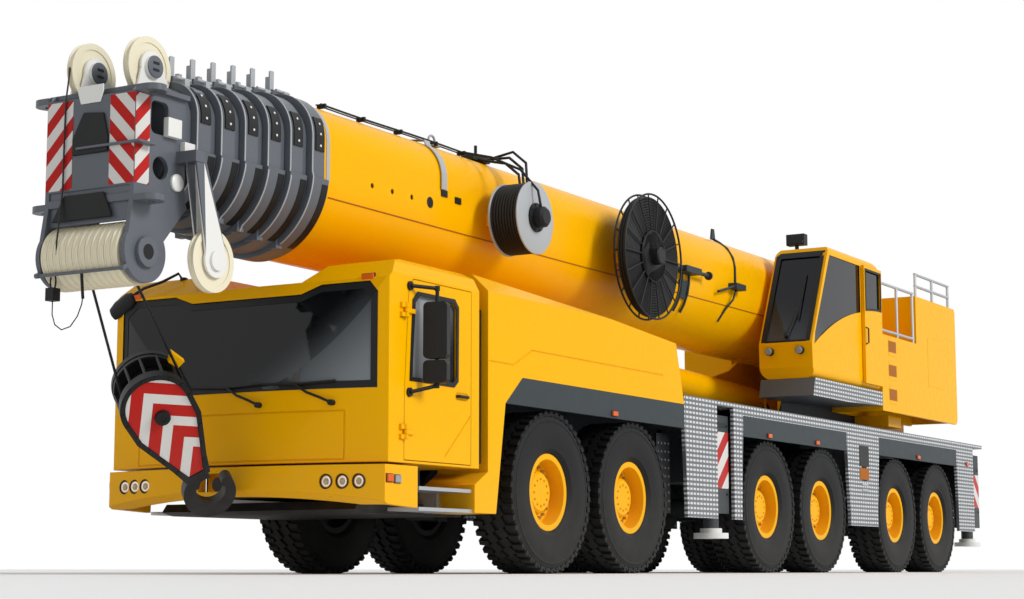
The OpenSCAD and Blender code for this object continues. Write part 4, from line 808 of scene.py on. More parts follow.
def fit_wheel(axle, side, sign):
    mesh = wheel_mesh.copy()
    about = Matrix.Identity(4) if sign > 0 else Matrix.Rotation(math.pi, 4, "Z")
    mesh.transform(Matrix.Translation((AXLE_X[axle], sign * WHEEL_Y, AXLE_Z)) @ about)
    made = bpy.data.objects.new(f"road_wheel_{axle}_{side}", mesh)
    scene.collection.objects.link(made)
    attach(made, f"wheel_{axle}_{side}")
    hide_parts(f"wheel_{axle}_{side}")


for axle in range(1, 7):
    on_both(lambda side, sign: fit_wheel(axle, side, sign))
print("wheels: 12, triangles each about", len(wheel_mesh.polygons) * 2)

# %% [markdown]
# ## Fitting pieces to the panels
# Seals, lamps and wipers sit on panels that curve. A ray cast against the CAD meshes finds the panel, so
# each fitting lies on it instead of floating in front of it.

# %% Rays against the CAD
def skin(*names):
    """The surface of some CAD nodes, ready for rays."""
    points, faces = [], []
    for name in names:
        mesh = nodes[name].data
        start = len(points)
        points += [v.co.copy() for v in mesh.vertices]
        faces += [[start + i for i in polygon.vertices] for polygon in mesh.polygons]
    return BVHTree.FromPolygons(points, faces)


def landing(surface, start, direction):
    """Where a ray first meets a surface, and which way the surface faces there."""
    place, normal, _, _ = surface.ray_cast(Vector(start), Vector(direction).normalized())
    return place, normal


def sampled(outline, steps):
    """A closed outline with the same number of extra points on every side."""
    ends = outline[1:] + outline[:1]
    return [Vector(a).lerp(Vector(b), i / steps) for a, b in zip(outline, ends) for i in range(steps)]


def add_band(bm, outer, inner, depth, material=0):
    """A closed flat band between two loops of points, as thick as the vector depth."""
    depth = Vector(depth)
    loops = [[bm.verts.new(p + shift) for p in loop] for shift in (Vector(), depth)
             for loop in (outer, inner)]
    bridge(bm, [loops[i] for i in (0, 1, 3, 2, 0)], material, False)


def add_bolt(bm, place, axis, radius, height, material=0):
    add_lathe(bm, [(radius, -0.004), (radius, height * 0.7), (radius * 0.6, height)], place, axis, 6,
              material)


def line_inside(node, material, *closing):
    """Gives a shell a second finish on its inner faces: those whose outward ray meets the shell again."""
    mesh = nodes[node].data
    mesh.materials.append(material)
    around = skin(node, *closing)
    inner = 0
    for polygon in mesh.polygons:
        _, _, _, distance = around.ray_cast(polygon.center + polygon.normal * 0.003, polygon.normal)
        if distance is not None and distance > 0.25:
            polygon.material_index = len(mesh.materials) - 1
            inner += 1
    print(node, "inner faces:", inner)


line_inside("cab_shell", PLASTIC, "cab_glass", "cab_door_left", "cab_door_right")
line_inside("crane_cab_shell", PLASTIC, "crane_cab_glass", "crane_cab_door")

# %% [markdown]
# ## Driver's cab
# The windscreen has a wide black border that follows its outline, and two wipers that rest at its foot.
# The outline is drawn in front view and then laid onto the glass.

# %% Windscreen border and wipers
SILL_Z = 1.47
POD_Y, BEND_Y = 0.76, 0.56


def screen_outline(inset):
    edge, low = HALF_W - 0.095 - inset, SILL_Z + 0.03 + inset
    top, mid = CAB_ROOF - 0.235 - inset, CAB_ROOF - 0.305 - inset
    half = [(edge, low), (edge, top - 0.09), (edge - 0.09, top), (POD_Y + 0.02, top), (BEND_Y + 0.02, mid)]
    return half + [(-y, z) for y, z in half[::-1]]


glass_skin = skin("cab_glass")
cab_skin = skin("cab_shell", "cab_glass")


def on_screen(y, z):
    place, _ = landing(glass_skin, (NOSE_X + 1, y, z), (-1, 0, 0))
    return place


shape = bmesh.new()
rings = [[on_screen(*p) for p in sampled(screen_outline(inset), 10)] for inset in (0.004, 0.062)]
add_band(shape, *rings, (0.004, 0, 0))
piece("screen_border", shape, "carrier", PLASTIC)

shape = bmesh.new()
for pivot_y in (0.30, 0.98):
    path = [(pivot_y, 1.385), (pivot_y - 0.10, 1.43), (pivot_y - 0.22, 1.475), (pivot_y - 0.34, 1.545)]
    points = [landing(cab_skin, (NOSE_X + 1, y, z), (-1, 0, 0))[0] + Vector((0.03, 0, 0)) for y, z in path]
    add_pipe(shape, points, 0.011, 8)
    add_rod(shape, points[0] - Vector((0.04, 0, 0)), points[0] + Vector((0.018, 0, 0)), 0.024, 16)
    blade = [on_screen(pivot_y - 0.34 + d, 1.545 + 0.05 * abs(d)) for d in np.linspace(-0.42, 0.36, 9)]
    add_pipe(shape, [p + Vector((0.018, 0, 0)) for p in blade], 0.012, 6)
piece("wipers", shape, "carrier", PLASTIC)
print("border points:", len(rings[0]))

# %% [markdown]
# Each door has a pane behind a rubber seal and a pull handle over its recess. The pieces ride on the door,
# so that they swing with it.

# %% Door panes, seals and handles
DOOR_FRONT, DOOR_REAR = NOSE_X - 0.43, CAB_REAR + 0.13
WINDOW = [(DOOR_REAR + 0.23, 1.64), (DOOR_REAR + 0.29, 1.59), (DOOR_FRONT - 0.09, 1.59),
          (DOOR_FRONT - 0.13, 2.24), (DOOR_FRONT - 0.20, 2.31), (DOOR_REAR + 0.29, 2.31),
          (DOOR_REAR + 0.23, 2.25)]


def dress_door(side, sign):
    body = f"cab_door_{side}"
    shape = bmesh.new()
    add_slab(shape, [(x, sign * (HALF_W - 0.034), z) for x, z in WINDOW], (0, sign * 0.008, 0))
    piece(f"door_pane_{side}", shape, body, SIDE_GLASS)
    shape = bmesh.new()
    middle = Vector((sum(x for x, _ in WINDOW), 0, sum(z for _, z in WINDOW))) / len(WINDOW)
    loop = [Vector((x, 0, z)) for x, z in WINDOW]
    outer = [p + (p - middle).normalized() * 0.022 + Vector((0, sign * (HALF_W + 0.001), 0)) for p in loop]
    inner = [p - (p - middle).normalized() * 0.026 + Vector((0, sign * (HALF_W + 0.001), 0)) for p in loop]
    add_band(shape, outer, inner, (0, sign * 0.009, 0))
    x, z, out = DOOR_REAR + 0.15, 1.50, sign * (HALF_W + 0.022)
    add_pipe(shape, [(x - 0.085, sign * (HALF_W - 0.004), z), (x - 0.07, out, z), (x + 0.07, out, z),
                     (x + 0.085, sign * (HALF_W - 0.004), z)], 0.014, 8)
    piece(f"door_seal_{side}", shape, body, PLASTIC, bevel=0.003)


on_both(dress_door)
print("door pieces: 4")

# %% [markdown]
# Each lamp is a dark ring, a chrome bowl and a clear bulb. The bumper curves, so each lamp is set at the
# depth of the curve at its own distance from the middle.

# %% Head lamps, corner lamps and markers
BUMPER_R = 5.2


def bumper_face(y):
    return NOSE_X + 0.045 - BUMPER_R + math.sqrt(BUMPER_R ** 2 - y ** 2)


LAMP_RING = [(0.0615, -0.02), (0.0615, 0.006), (0.054, 0.009), (0.049, 0.004), (0.048, -0.004)]
LAMP_BOWL = [(0.047, -0.001), (0.038, 0.001), (0.026, -0.0005), (0.012, -0.0005)]
LAMP_BULB = [(0.024, -0.001), (0.022, 0.005), (0.014, 0.009), (0.002, 0.010)]
ring, bowl, lens = bmesh.new(), bmesh.new(), bmesh.new()
for y in [s * y for s in (-1, 1) for y in (0.95, 1.09, 1.23)]:
    seat = Vector((bumper_face(y) - 0.012, y, 0.745))
    add_lathe(ring, LAMP_RING, seat, (1, 0, 0), 32)
    add_lathe(bowl, LAMP_BOWL, seat, (1, 0, 0), 32)
    add_lathe(lens, LAMP_BULB, seat, (1, 0, 0), 24)
piece("lamp_rings", ring, "carrier", PLASTIC)
piece("lamp_bowls", bowl, "carrier", CHROME)
piece("lamp_bulbs", lens, "carrier", CLEAR)

bumper_skin = skin("front_bumper")
side_skin = skin("mudguards", "side_skirts", "engine_hood")
orange_bm, clear_bm, base_bm = bmesh.new(), bmesh.new(), bmesh.new()


def add_marker(lens, surface, start, direction, long_axis, size):
    """A flat lamp on a panel: a black base and a lens that stands off it."""
    place, _ = landing(surface, start, direction)
    if place is None:
        return
    normal = -Vector(direction).normalized()
    along = Vector(long_axis)
    across = normal.cross(along)
    wider = (size[0] + 0.012, size[1] + 0.012)
    for bm, (a, b), low, high in ((base_bm, wider, -0.004, 0.006), (lens, size, 0.0, 0.022)):
        corners = [place + normal * low + along * i * a / 2 + across * j * b / 2
                   for i, j in ((-1, -1), (1, -1), (1, 1), (-1, 1))]
        add_slab(bm, corners, normal * (high - low))


SIDE_MARKER_X, SIDE_MARKER_Z = (2.89, -0.91, -2.35, -5.99, -8.10), 1.545
CORNER_LAMP, SIDE_MARKER = (0.085, 0.06), (0.10, 0.045)
for sign in (-1, 1):
    inward = (0, -sign, 0)
    add_marker(orange_bm, bumper_skin, (6.79, sign * 3, 0.77), inward, (1, 0, 0), CORNER_LAMP)
    add_marker(clear_bm, bumper_skin, (6.68, sign * 3, 0.765), inward, (1, 0, 0), CORNER_LAMP)
    for x in SIDE_MARKER_X:
        add_marker(orange_bm, side_skin, (x, sign * 3, SIDE_MARKER_Z), inward, (1, 0, 0), SIDE_MARKER)
    add_marker(orange_bm, cab_skin, (9.0, sign * 1.24, 2.415), (-1, 0, 0), (0, 1, 0), (0.12, 0.045))
piece("marker_bases", base_bm, "carrier", PLASTIC)
piece("orange_markers", orange_bm, "carrier", ORANGE, bevel=0.005)
piece("corner_lamps", clear_bm, "carrier", CLEAR, bevel=0.005)
print("markers done")

# %% [markdown]
# A mirror on a bent arm looks down over the front right corner of the cab. It is one swept tube and one
# shell, turned from a profile and pressed flat. A tow eye stands in the bumper. A black panel closes the
# gap behind the cab and a black tray closes the underside, both painted shade.

# %% Front mirror and bumper fittings
shape = bmesh.new()
root, _ = landing(cab_skin, (6.62, -0.86, 4.0), (0, 0, -1))
add_pipe(shape, [root - Vector((0, 0, 0.02)), root + Vector((0.05, -0.02, 0.05)), Vector((6.74, -1.0, 2.545)),
                 Vector((6.80, -1.16, 2.49)), Vector((6.82, -1.27, 2.43))], 0.013, 8)
head = bmesh.new()
add_lathe(head, [(0.012, -0.15), (0.05, -0.14), (0.075, -0.09), (0.08, 0.05), (0.06, 0.13), (0.01, 0.15)],
          (0, 0, 0), (0, -0.86, -0.51), 20)
bmesh.ops.scale(head, vec=(0.55, 1, 1), verts=head.verts)
bmesh.ops.translate(head, vec=(6.82, -1.38, 2.345), verts=head.verts)
head_mesh = bpy.data.meshes.new("mirror_head")
head.to_mesh(head_mesh)
head.free()
add_mesh(shape, head_mesh, Matrix.Identity(4))
add_lathe(shape, [(0.035, -0.01), (0.035, 0.012), (0.02, 0.02)], root, (0, 0, 1), 16)
piece("front_mirror", shape, "carrier", PLASTIC)

shape = bmesh.new()
hitch_y = -0.13
add_lathe(shape, [(0.075, 0), (0.075, 0.03), (0.05, 0.03), (0.05, 0.09), (0.062, 0.09), (0.062, 0.11)],
          (NOSE_X - 0.125, hitch_y, 0.74), (1, 0, 0), 24)
add_pipe(shape, [(NOSE_X - 0.03, hitch_y + u, 0.74 + v) for u, v in circle(16, 0.05, True)], 0.014, 8)
piece("tow_eye", shape, "carrier", BLACK)

# Painted shade: a black panel fills the gap behind the cab and a black tray closes the underside.
shape = bmesh.new()
add_box(shape, (CAB_REAR - 0.13, -HALF_W + 0.06, 0.95), (CAB_REAR - 0.03, HALF_W - 0.06, 2.30))
tray = [(CAB_REAR - 0.4, 0.60), (NOSE_X - 0.42, 0.60), (NOSE_X - 0.36, 0.53), (NOSE_X - 0.50, 0.50),
        (CAB_REAR - 0.4, 0.50)]
add_slab(shape, [(x, -1.02, z) for x, z in tray], (0, 2.04, 0))
piece("shade_panel_and_tray", shape, "carrier", BLACK)
print("front mirror done")

# %% [markdown]
# The seats in both cabs get cushions. Cushions are foam, so they get rounded edges from a bevel.

# %% Seats
def cushion(name, body, low, high, lean=0.0):
    shape = bmesh.new()
    add_box(shape, low, high)
    if lean:
        for v in shape.verts:
            v.co.x += lean * (v.co.z - low[2])
    made = piece(name, shape, body, SEAT, bevel=0.035)


FLOOR_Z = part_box("cab_interior")[0].z
for side, y in (("left", 0.82), ("right", -0.82)):
    x = CAB_REAR + 0.6
    low, half = FLOOR_Z, 0.235
    cushion(f"seat_pad_{side}", "carrier", (x - 0.19, y - half, low + 0.475),
            (x + 0.235, y + half, low + 0.545))
    half -= 0.01
    cushion(f"seat_back_{side}", "carrier", (x - 0.145, y - half, low + 0.53),
            (x - 0.075, y + half, low + 1.07), -0.172)
x, low = CRANE_CAB_REAR + 0.62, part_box("crane_cab_interior")[0].z
cushion("crane_seat_pad", "superstructure", (x - 0.17, CRANE_CAB_MID - 0.205, low + 0.485),
        (x + 0.255, CRANE_CAB_MID + 0.205, low + 0.555))
cushion("crane_seat_back", "superstructure", (x - 0.135, CRANE_CAB_MID - 0.195, low + 0.54),
        (x - 0.065, CRANE_CAB_MID + 0.195, low + 1.07), -0.156)
print("cushions: 6")

# %% [markdown]
# ## Crane cab and housing
# The crane cab has a sliding door with its own pane, and a black border round its screen. Work lamps, a
# wiper and a roof lamp sit on the shell.

# %% Crane cab
POST_X = CRANE_CAB_REAR + 0.66
ARCH_R, ARCH_TOP = 4.54, 3.36


def arch_z(x, extra):
    return ARCH_TOP - ARCH_R + math.sqrt((ARCH_R + extra) ** 2 - (x - CRANE_CAB_REAR) ** 2)


def crane_window(inset):
    left, right, top = CRANE_CAB_REAR + 0.065 + inset, POST_X - 0.045 - inset, CRANE_CAB_ROOF - 0.17 - inset
    low = [(x, arch_z(x, 0.03 + inset)) for x in np.linspace(left, right, 7)]
    return low + [(right, top), (left, top)]


DOOR_Y = CRANE_CAB_OUT + 0.006
shape = bmesh.new()
add_slab(shape, [(x, DOOR_Y + 0.012, z) for x, z in crane_window(-0.002)], (0, 0.008, 0))
piece("crane_door_pane", shape, "crane_cab_door", CAB_GLASS)
shape = bmesh.new()
outer, inner = ([Vector((x, DOOR_Y + 0.0405, z)) for x, z in crane_window(i)] for i in (-0.016, 0.012))
add_band(shape, outer, inner, (0, 0.006, 0))
add_pipe(shape, [(POST_X - 0.03, DOOR_Y + 0.036, 2.90), (POST_X - 0.03, DOOR_Y + 0.075, 2.92),
                 (POST_X - 0.03, DOOR_Y + 0.075, 3.10), (POST_X - 0.03, DOOR_Y + 0.036, 3.12)], 0.010, 8)
piece("crane_door_seal", shape, "crane_cab_door", PLASTIC)

shape = bmesh.new()
WORK_LENS = [(0.047, -0.002), (0.046, 0.004), (0.03, 0.010), (0.003, 0.012)]
for y in (CRANE_CAB_IN + 0.15, CRANE_CAB_OUT - 0.15):
    add_lathe(shape, WORK_LENS, (CRANE_CAB_FRONT + 0.06, y, 2.67), (1, 0, 0), 24)
piece("work_lamp_lenses", shape, "superstructure", CLEAR)
shape = bmesh.new()
add_box(shape, (CRANE_CAB_FRONT - 0.782, 0.81, 4.115), (CRANE_CAB_FRONT - 0.774, 1.02, 4.225))
piece("roof_lamp_lens", shape, "superstructure", CAB_GLASS, bevel=0.004)

crane_front = skin("crane_cab_shell")


def on_crane_front(y, z):
    """The point of the cab's front at this height, also where the screen's opening is."""
    place, _ = landing(crane_front, (0.0, CRANE_CAB_OUT - 0.045, z), (-1, 0, 0))
    return Vector((place.x + 0.001, y, z))


outer = [(CRANE_CAB_IN + 0.025, 2.785), (CRANE_CAB_OUT - 0.035, 2.785),
         (CRANE_CAB_OUT - 0.035, CRANE_CAB_ROOF - 0.075), (CRANE_CAB_IN + 0.07, CRANE_CAB_ROOF - 0.075),
         (CRANE_CAB_IN + 0.025, CRANE_CAB_ROOF - 0.12)]
inner = [(CRANE_CAB_IN + 0.09, 2.80), (CRANE_CAB_OUT - 0.088, 2.80),
         (CRANE_CAB_OUT - 0.088, CRANE_CAB_ROOF - 0.15), (CRANE_CAB_IN + 0.10, CRANE_CAB_ROOF - 0.15),
         (CRANE_CAB_IN + 0.09, CRANE_CAB_ROOF - 0.16)]
shape = bmesh.new()
rings = [[on_crane_front(*p) for p in sampled(loop, 8)] for loop in (outer, inner)]
add_band(shape, *rings, (0.006, 0, 0.004))
piece("crane_screen_border", shape, "superstructure", PLASTIC)

crane_glass = skin("crane_cab_glass")


def on_crane_glass(y, z, off):
    place, _ = landing(crane_glass, (0.0, CRANE_CAB_MID + y, z), (-1, 0, 0))
    return place + Vector(off)


arm = [on_crane_glass(y, z, (0.03, 0, 0.02)) for y, z in ((0.0, 2.84), (0.06, 3.05), (0.12, 3.35))]
shape = bmesh.new()
add_pipe(shape, arm, 0.009, 8)
add_rod(shape, arm[0] - Vector((0.06, 0, 0.03)), arm[0] + Vector((0.015, 0, 0.008)), 0.022, 12)
blade = [on_crane_glass(0.12, z, (0.018, 0, 0.012)) for z in np.linspace(3.05, 3.65, 6)]
add_pipe(shape, blade, 0.011, 6)
piece("crane_wiper", shape, "superstructure", PLASTIC)
print("crane cab pieces: 6")

# %% [markdown]
# The small vents show as brown plates on the housing, and brown boxes sit behind the vents and the large
# louvre: their brown is painted shade in the openings. A plain cover closes the large louvre. They stay
# thin, because the crane cab's door slides past them. The winch drum between the cheeks carries rope,
# drawn as one coil.

# %% Vents and winch rope
VENT_X, VENT_Z, VENT_HALF = CRANE_CAB_REAR - 0.46, (2.33, 2.65, 2.97), 0.105
LOUVRE_X, LOUVRE_Z, LOUVRE_HALF = TAIL_X + 0.9, 2.90, 0.295
SUNK, PLATE_T, COVER_T = 0.002, 0.0032, 0.0018
vent_shade_boxes, covers = bmesh.new(), bmesh.new()
behind = (CRANE_CAB_OUT - 0.052, CRANE_CAB_OUT - 0.042)
plate_span = (CRANE_CAB_OUT - SUNK, CRANE_CAB_OUT + PLATE_T)
cover_span = (CRANE_CAB_OUT - SUNK, CRANE_CAB_OUT + COVER_T)
# Brown boxes behind the wall and brown plates on it are painted shade in the vent openings.
for sign in (-1, 1):
    for z in VENT_Z:
        add_side_box(vent_shade_boxes, sign, about(VENT_X, VENT_HALF), behind, about(z, VENT_HALF))
        add_side_box(vent_shade_boxes, sign, about(VENT_X, 0.145), plate_span, about(z, 0.075))
        add_side_box(covers, sign, about(VENT_X, 0.14), cover_span, about(z, 0.125))
    add_side_box(vent_shade_boxes, sign, about(LOUVRE_X, LOUVRE_HALF), behind, about(LOUVRE_Z, LOUVRE_HALF))
    add_side_box(covers, sign, about(LOUVRE_X, 0.34), cover_span, about(LOUVRE_Z, 0.34))
piece("vent_shade_plates", vent_shade_boxes, "superstructure", SHADE_BROWN)
piece("housing_covers", covers, "superstructure", YELLOW)

shape = bmesh.new()
rope = grown(coil_tree, Turns=40, Radius=0.242, Pitch=0.0265, Thickness=0.0135, Material=STEEL)
add_mesh(shape, rope, facing((TAIL_X + 0.7, -0.517, 2.62), (0, 1, 0)))
piece("winch_rope", shape, "superstructure", STEEL)
print("vents: 8, rope turns: 40")

# %% [markdown]
# ## Boom
# The boom's collars carry black pads held by three pale screws, a pale edge in front and a black band low on
# each side. The base tube has a pale strip before its collar, a weld along each side where the two half
# shells meet, and hose on two reels.

# %% Collar screws and strip
boom_skins = [skin(section_node(i)) for i in range(6)]
for i in range(6):
    shape = bmesh.new()
    for sign in (-1, 1):
        for rise in (0.215, 0.315, 0.405):
            start = (SECTION_FRONT[i] - 0.105, sign * 3, BOOM_Z + rise)
            place, normal = landing(boom_skins[i], start, (0, -sign, 0))
            add_bolt(shape, place, normal, 0.011, 0.008)
    piece(f"pad_screws_{i}", shape, section_body(i), WHITE)


def add_wrap(bm, surface, x0, x1, start, end, thick, material=0):
    """A strip laid round the boom from one angle to another, on the skin that the rays find."""
    rows = []
    for t in np.linspace(math.radians(start), math.radians(end), 72):
        away = Vector((0, math.cos(t), math.sin(t)))
        place, _ = landing(surface, Vector(((x0 + x1) / 2, 0, BOOM_Z)) + away * 3, -away)
        rows.append([Vector((x, 0, 0)) + Vector((0, *(place + away * d).yz)) for x in (x0, x1)
                     for d in (-0.002, thick)])
    bridge(bm, [[bm.verts.new(p) for p in (r[0], r[1], r[3], r[2])] for r in rows], material, True)


shape = bmesh.new()
add_wrap(shape, boom_skins[0], SECTION_FRONT[0] - 0.285, SECTION_FRONT[0] - 0.237, -6, 186, 0.006)
piece("base_strip", shape, "boom", PALE_GREY)
for i in range(6):
    shape = bmesh.new()
    front = SECTION_FRONT[i]
    add_wrap(shape, boom_skins[i], front - 0.016, front - 0.002, -60, 240, 0.005)
    for start, end in ((-62, -9), (189, 242)):
        add_wrap(shape, boom_skins[i], front - 0.222, front - 0.140, start, end, 0.004, 1)
    piece(f"collar_edge_{i}", shape, section_body(i), PALE_GREY, BLACK)
print("collars dressed: 6")

# %% Weld, cables and brackets on the base tube
def on_side(x, z, out=0.0):
    """A point on the left side of the base tube, moved outward by out."""
    place, _ = landing(boom_skins[0], (x, 3, z), (0, -1, 0))
    return place + Vector((0, out, 0))


shape = bmesh.new()
for sign in (-1, 1):
    weld = []
    for x in np.linspace(-5.6, SECTION_FRONT[0] - 0.30, 40):
        place, _ = landing(boom_skins[0], (x, sign * 3, BOOM_Z - 0.19), (0, -sign, 0))
        if place is not None and abs(place.y) < BOOM_HALF_W + 0.01:
            weld.append(place)
    add_pipe(shape, weld, 0.007, 6)
piece("weld_lines", shape, "boom", SHADE_BROWN)

TOP_Z = BOOM_Z + BOOM_HALF_H
shape = bmesh.new()
cable = [(x, 0.40 + 0.01 * math.sin(3 * x), TOP_Z + 0.022) for x in np.linspace(6.35, 3.95, 25)]
add_pipe(shape, cable, 0.010, 8)
add_pipe(shape, [(p[0], p[1] - 0.05, p[2]) for p in cable], 0.007, 8)
for x in (6.3, 5.7, 5.1, 4.5, 4.0):
    add_box(shape, (x - 0.012, 0.33, TOP_Z - 0.005), (x + 0.012, 0.42, TOP_Z + 0.036))
piece("top_cables", shape, "boom", HOSE)

shape = bmesh.new()
x = AXLE_X[1] + 0.70
flat = [(0.30, TOP_Z + 0.006), (0.46, TOP_Z - 0.012)]
for z in np.linspace(TOP_Z - 0.06, 3.53, 14):
    flat.append((on_side(x, z, 0.012).y, z))
for a, b in zip(flat, flat[1:]):
    add_slab(shape, [(x - 0.045, *a), (x + 0.045, *a), (x + 0.045, *b), (x - 0.045, *b)], (0, 0.010, 0.004))
add_pipe(shape, [(x - 0.30 + u, 0.33, TOP_Z + 0.055 + v) for u, v in circle(20, 0.055, True)], 0.012, 8)
add_box(shape, (x - 0.36, 0.27, TOP_Z - 0.004), (x - 0.24, 0.39, TOP_Z + 0.012))
piece("hose_bracket", shape, "boom", PALE_GREY)

shape = bmesh.new()
for dx, z in ((-0.02, 3.50), (-0.26, 3.47)):
    face = on_side(x + dx, z).y
    add_box(shape, (x + dx - 0.05, face - 0.004, z - 0.03), (x + dx + 0.05, face + 0.012, z + 0.03))
x = SECTION_FRONT[0] - 0.93 - 3 * 0.31
for sign in (-1, 1):
    place, _ = landing(boom_skins[0], (x, sign * 3, BOOM_Z + 0.015), (0, -sign, 0))
    plug = [(0.052, -0.002), (0.052, 0.003), (0.040, 0.003), (0.040, 0.0005)]
    add_lathe(shape, plug, place, (0, sign, 0), 24)
piece("boom_plugs", shape, "boom", BLACK)

# Two fittings on the left side of the tube: a bracket with a pipe, and a strap with a folding stay.
shape = bmesh.new()
for x in (-0.28, -0.46):
    add_pipe(shape, [on_side(x, z, 0.03) for z in (3.42, 3.30, 3.18, 3.06, 2.97)], 0.016, 8)
add_box(shape, (-0.56, 0.62, 3.40), (-0.16, 0.80, 3.47))
add_rod(shape, (-0.85, 0.74, 3.435), (0.05, 0.74, 3.435), 0.022)
add_lathe(shape, [(0.05, 0), (0.05, 0.02), (0.03, 0.02)], (-0.86, 0.74, 3.435), (-1, 0, 0), 20)
gusset = [(-0.50, 3.32), (-0.24, 3.32), (-0.28, 3.12), (-0.46, 3.12)]
add_slab(shape, [on_side(x, z) for x, z in gusset], (0, 0.03, 0))
STRAP_X = -1.80
lug = [(-0.06, -0.004), (0.06, -0.004), (0.03, 0.13), (-0.03, 0.13)]
add_slab(shape, [(STRAP_X + x, 0.36, TOP_Z + z) for x, z in lug], (0, 0.02, 0))
strap = [on_side(STRAP_X, z, 0.012) for z in (3.98, 3.90, 3.78, 3.66, 3.52, 3.44)]
add_pipe(shape, [(STRAP_X, 0.38, TOP_Z + 0.004)] + strap, 0.015, 8)
add_box(shape, (-1.90, 0.63, 3.38), (-1.62, 0.76, 3.45))
add_rod(shape, (-1.64, 0.73, 3.41), (-1.22, 0.70, 3.30), 0.016)
stay = [(-1.74, 3.38, 0.05), (-1.66, 3.25, 0.05), (-1.56, 3.12, 0.02), (-1.52, 2.98, 0.012)]
add_pipe(shape, [on_side(*p) for p in stay], 0.013, 8)
piece("side_fittings", shape, "boom", DARK)
print("cable clips: 5")

# %% [markdown]
# The small reel is a drum between two pale flanges, wound with thick hose. The large one is an open wheel
# with many thin spokes on each side of a flat winding. Together they replace the plain CAD reels, with the
# same axes and sizes.

# %% Hose reels
SMALL_X, LARGE_X = AXLE_X[1] - 0.2, AXLE_X[1] - 2.9
SMALL_R, LARGE_R = 0.35, 0.685
shape = bmesh.new()
for y in (0.80, 1.106):
    flange = [(0.09, 0.0), (SMALL_R - 0.012, 0.0), (SMALL_R, 0.006), (SMALL_R, 0.018),
              (SMALL_R - 0.012, 0.024), (0.09, 0.024)]
    add_lathe(shape, flange, (SMALL_X, y, BOOM_Z), (0, 1, 0), 64, 1)
add_lathe(shape, [(0.262, 0.82), (0.262, 1.11)], (SMALL_X, 0, BOOM_Z), (0, 1, 0), 48)
for radius, start in ((0.276, 0.838), (0.302, 0.852), (0.327, 0.838)):
    winding = grown(coil_tree, Turns=9, Radius=radius, Pitch=0.031, Thickness=0.0150, Material=HOSE)
    add_mesh(shape, winding, facing((SMALL_X, start, BOOM_Z), (0, 1, 0)))

for y in (0.912, 1.038):
    rim = [(LARGE_R - 0.012 + u, v) for u, v in circle(10, 0.011, True)]
    add_lathe(shape, rim, (LARGE_X, y, BOOM_Z), (0, 1, 0), 96, 0, capped=False)
    add_lathe(shape, [(0.27, -0.012), (0.28, -0.006), (0.28, 0.006), (0.27, 0.012)], (LARGE_X, y, BOOM_Z),
              (0, 1, 0), 64)
    hub = Vector((LARGE_X, y, BOOM_Z))
    for u, v in circle(18):
        spoke = Vector((u, 0, v))
        add_rod(shape, hub + spoke * 0.26, hub + spoke * (LARGE_R - 0.014), 0.008, 8)
add_lathe(shape, [(0.275, 0.90), (0.275, 1.05)], (LARGE_X, 0, BOOM_Z), (0, 1, 0), 48)
add_lathe(shape, [(0.095, 1.04), (0.095, 1.125), (0.08, 1.14)], (LARGE_X, 0, BOOM_Z), (0, 1, 0), 32)
for layer in range(13):
    winding = grown(coil_tree, Turns=3, Radius=0.292 + 0.0285 * layer, Pitch=0.029, Thickness=0.0143,
                    Material=HOSE)
    add_mesh(shape, winding, facing((LARGE_X, 0.946, BOOM_Z), (0, 1, 0)))
reels = piece("wound_reels", shape, "boom", HOSE, PALE_GREY)
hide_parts("hose_reels")

shape = bmesh.new()
motor = [(0.14, 0.0), (0.14, 0.02), (0.10, 0.025), (0.10, 0.10), (0.075, 0.125), (0.02, 0.125)]
add_lathe(shape, motor, (SMALL_X, 1.129, BOOM_Z), (0, 1, 0), 32)
for u, v in circle(10, 0.122):
    add_bolt(shape, (SMALL_X + u, 1.15, BOOM_Z + v), (0, 1, 0), 0.010, 0.008)
add_pipe(shape, [(SMALL_X + 0.02, 1.20, BOOM_Z + 0.09), (SMALL_X + 0.06, 1.19, BOOM_Z + 0.25),
                 (SMALL_X + 0.10, 1.02, BOOM_Z + 0.46), (SMALL_X + 0.14, 0.72, TOP_Z - 0.06),
                 (SMALL_X + 0.16, 0.40, TOP_Z + 0.02)], 0.013, 8)
piece("reel_motor", shape, "boom", PLASTIC)
shape = bmesh.new()
for k in range(3):
    lift = 0.07 * k
    x = SMALL_X - lift
    add_pipe(shape, [(x - 0.10, 0.90, BOOM_Z + 0.335), (x - 0.14, 0.86, BOOM_Z + 0.47 + lift),
                     (x - 0.16, 0.70, BOOM_Z + 0.60 + lift), (x - 0.16, 0.52, BOOM_Z + 0.64 + lift * 0.5),
                     (x - 0.15, 0.36, TOP_Z + 0.012)], 0.014, 8)
add_box(shape, (SMALL_X - 0.36, 0.26, TOP_Z - 0.005), (SMALL_X - 0.04, 0.40, TOP_Z + 0.05))
add_rod(shape, (SMALL_X - 0.2, 0.33, TOP_Z + 0.04), (SMALL_X - 0.2, 0.33, TOP_Z + 0.16), 0.016)
piece("reel_hoses", shape, "boom", HOSE)
print("reels wound")

# %% [markdown]
# ## Boom head and hook block
# The head's front wall has two striped strips, which turn round the corners onto the cheeks. Black pads and
# a rope lie in front of the wall, grey caps close the sheave axles, and a switch weight hangs from the rope
# guard.

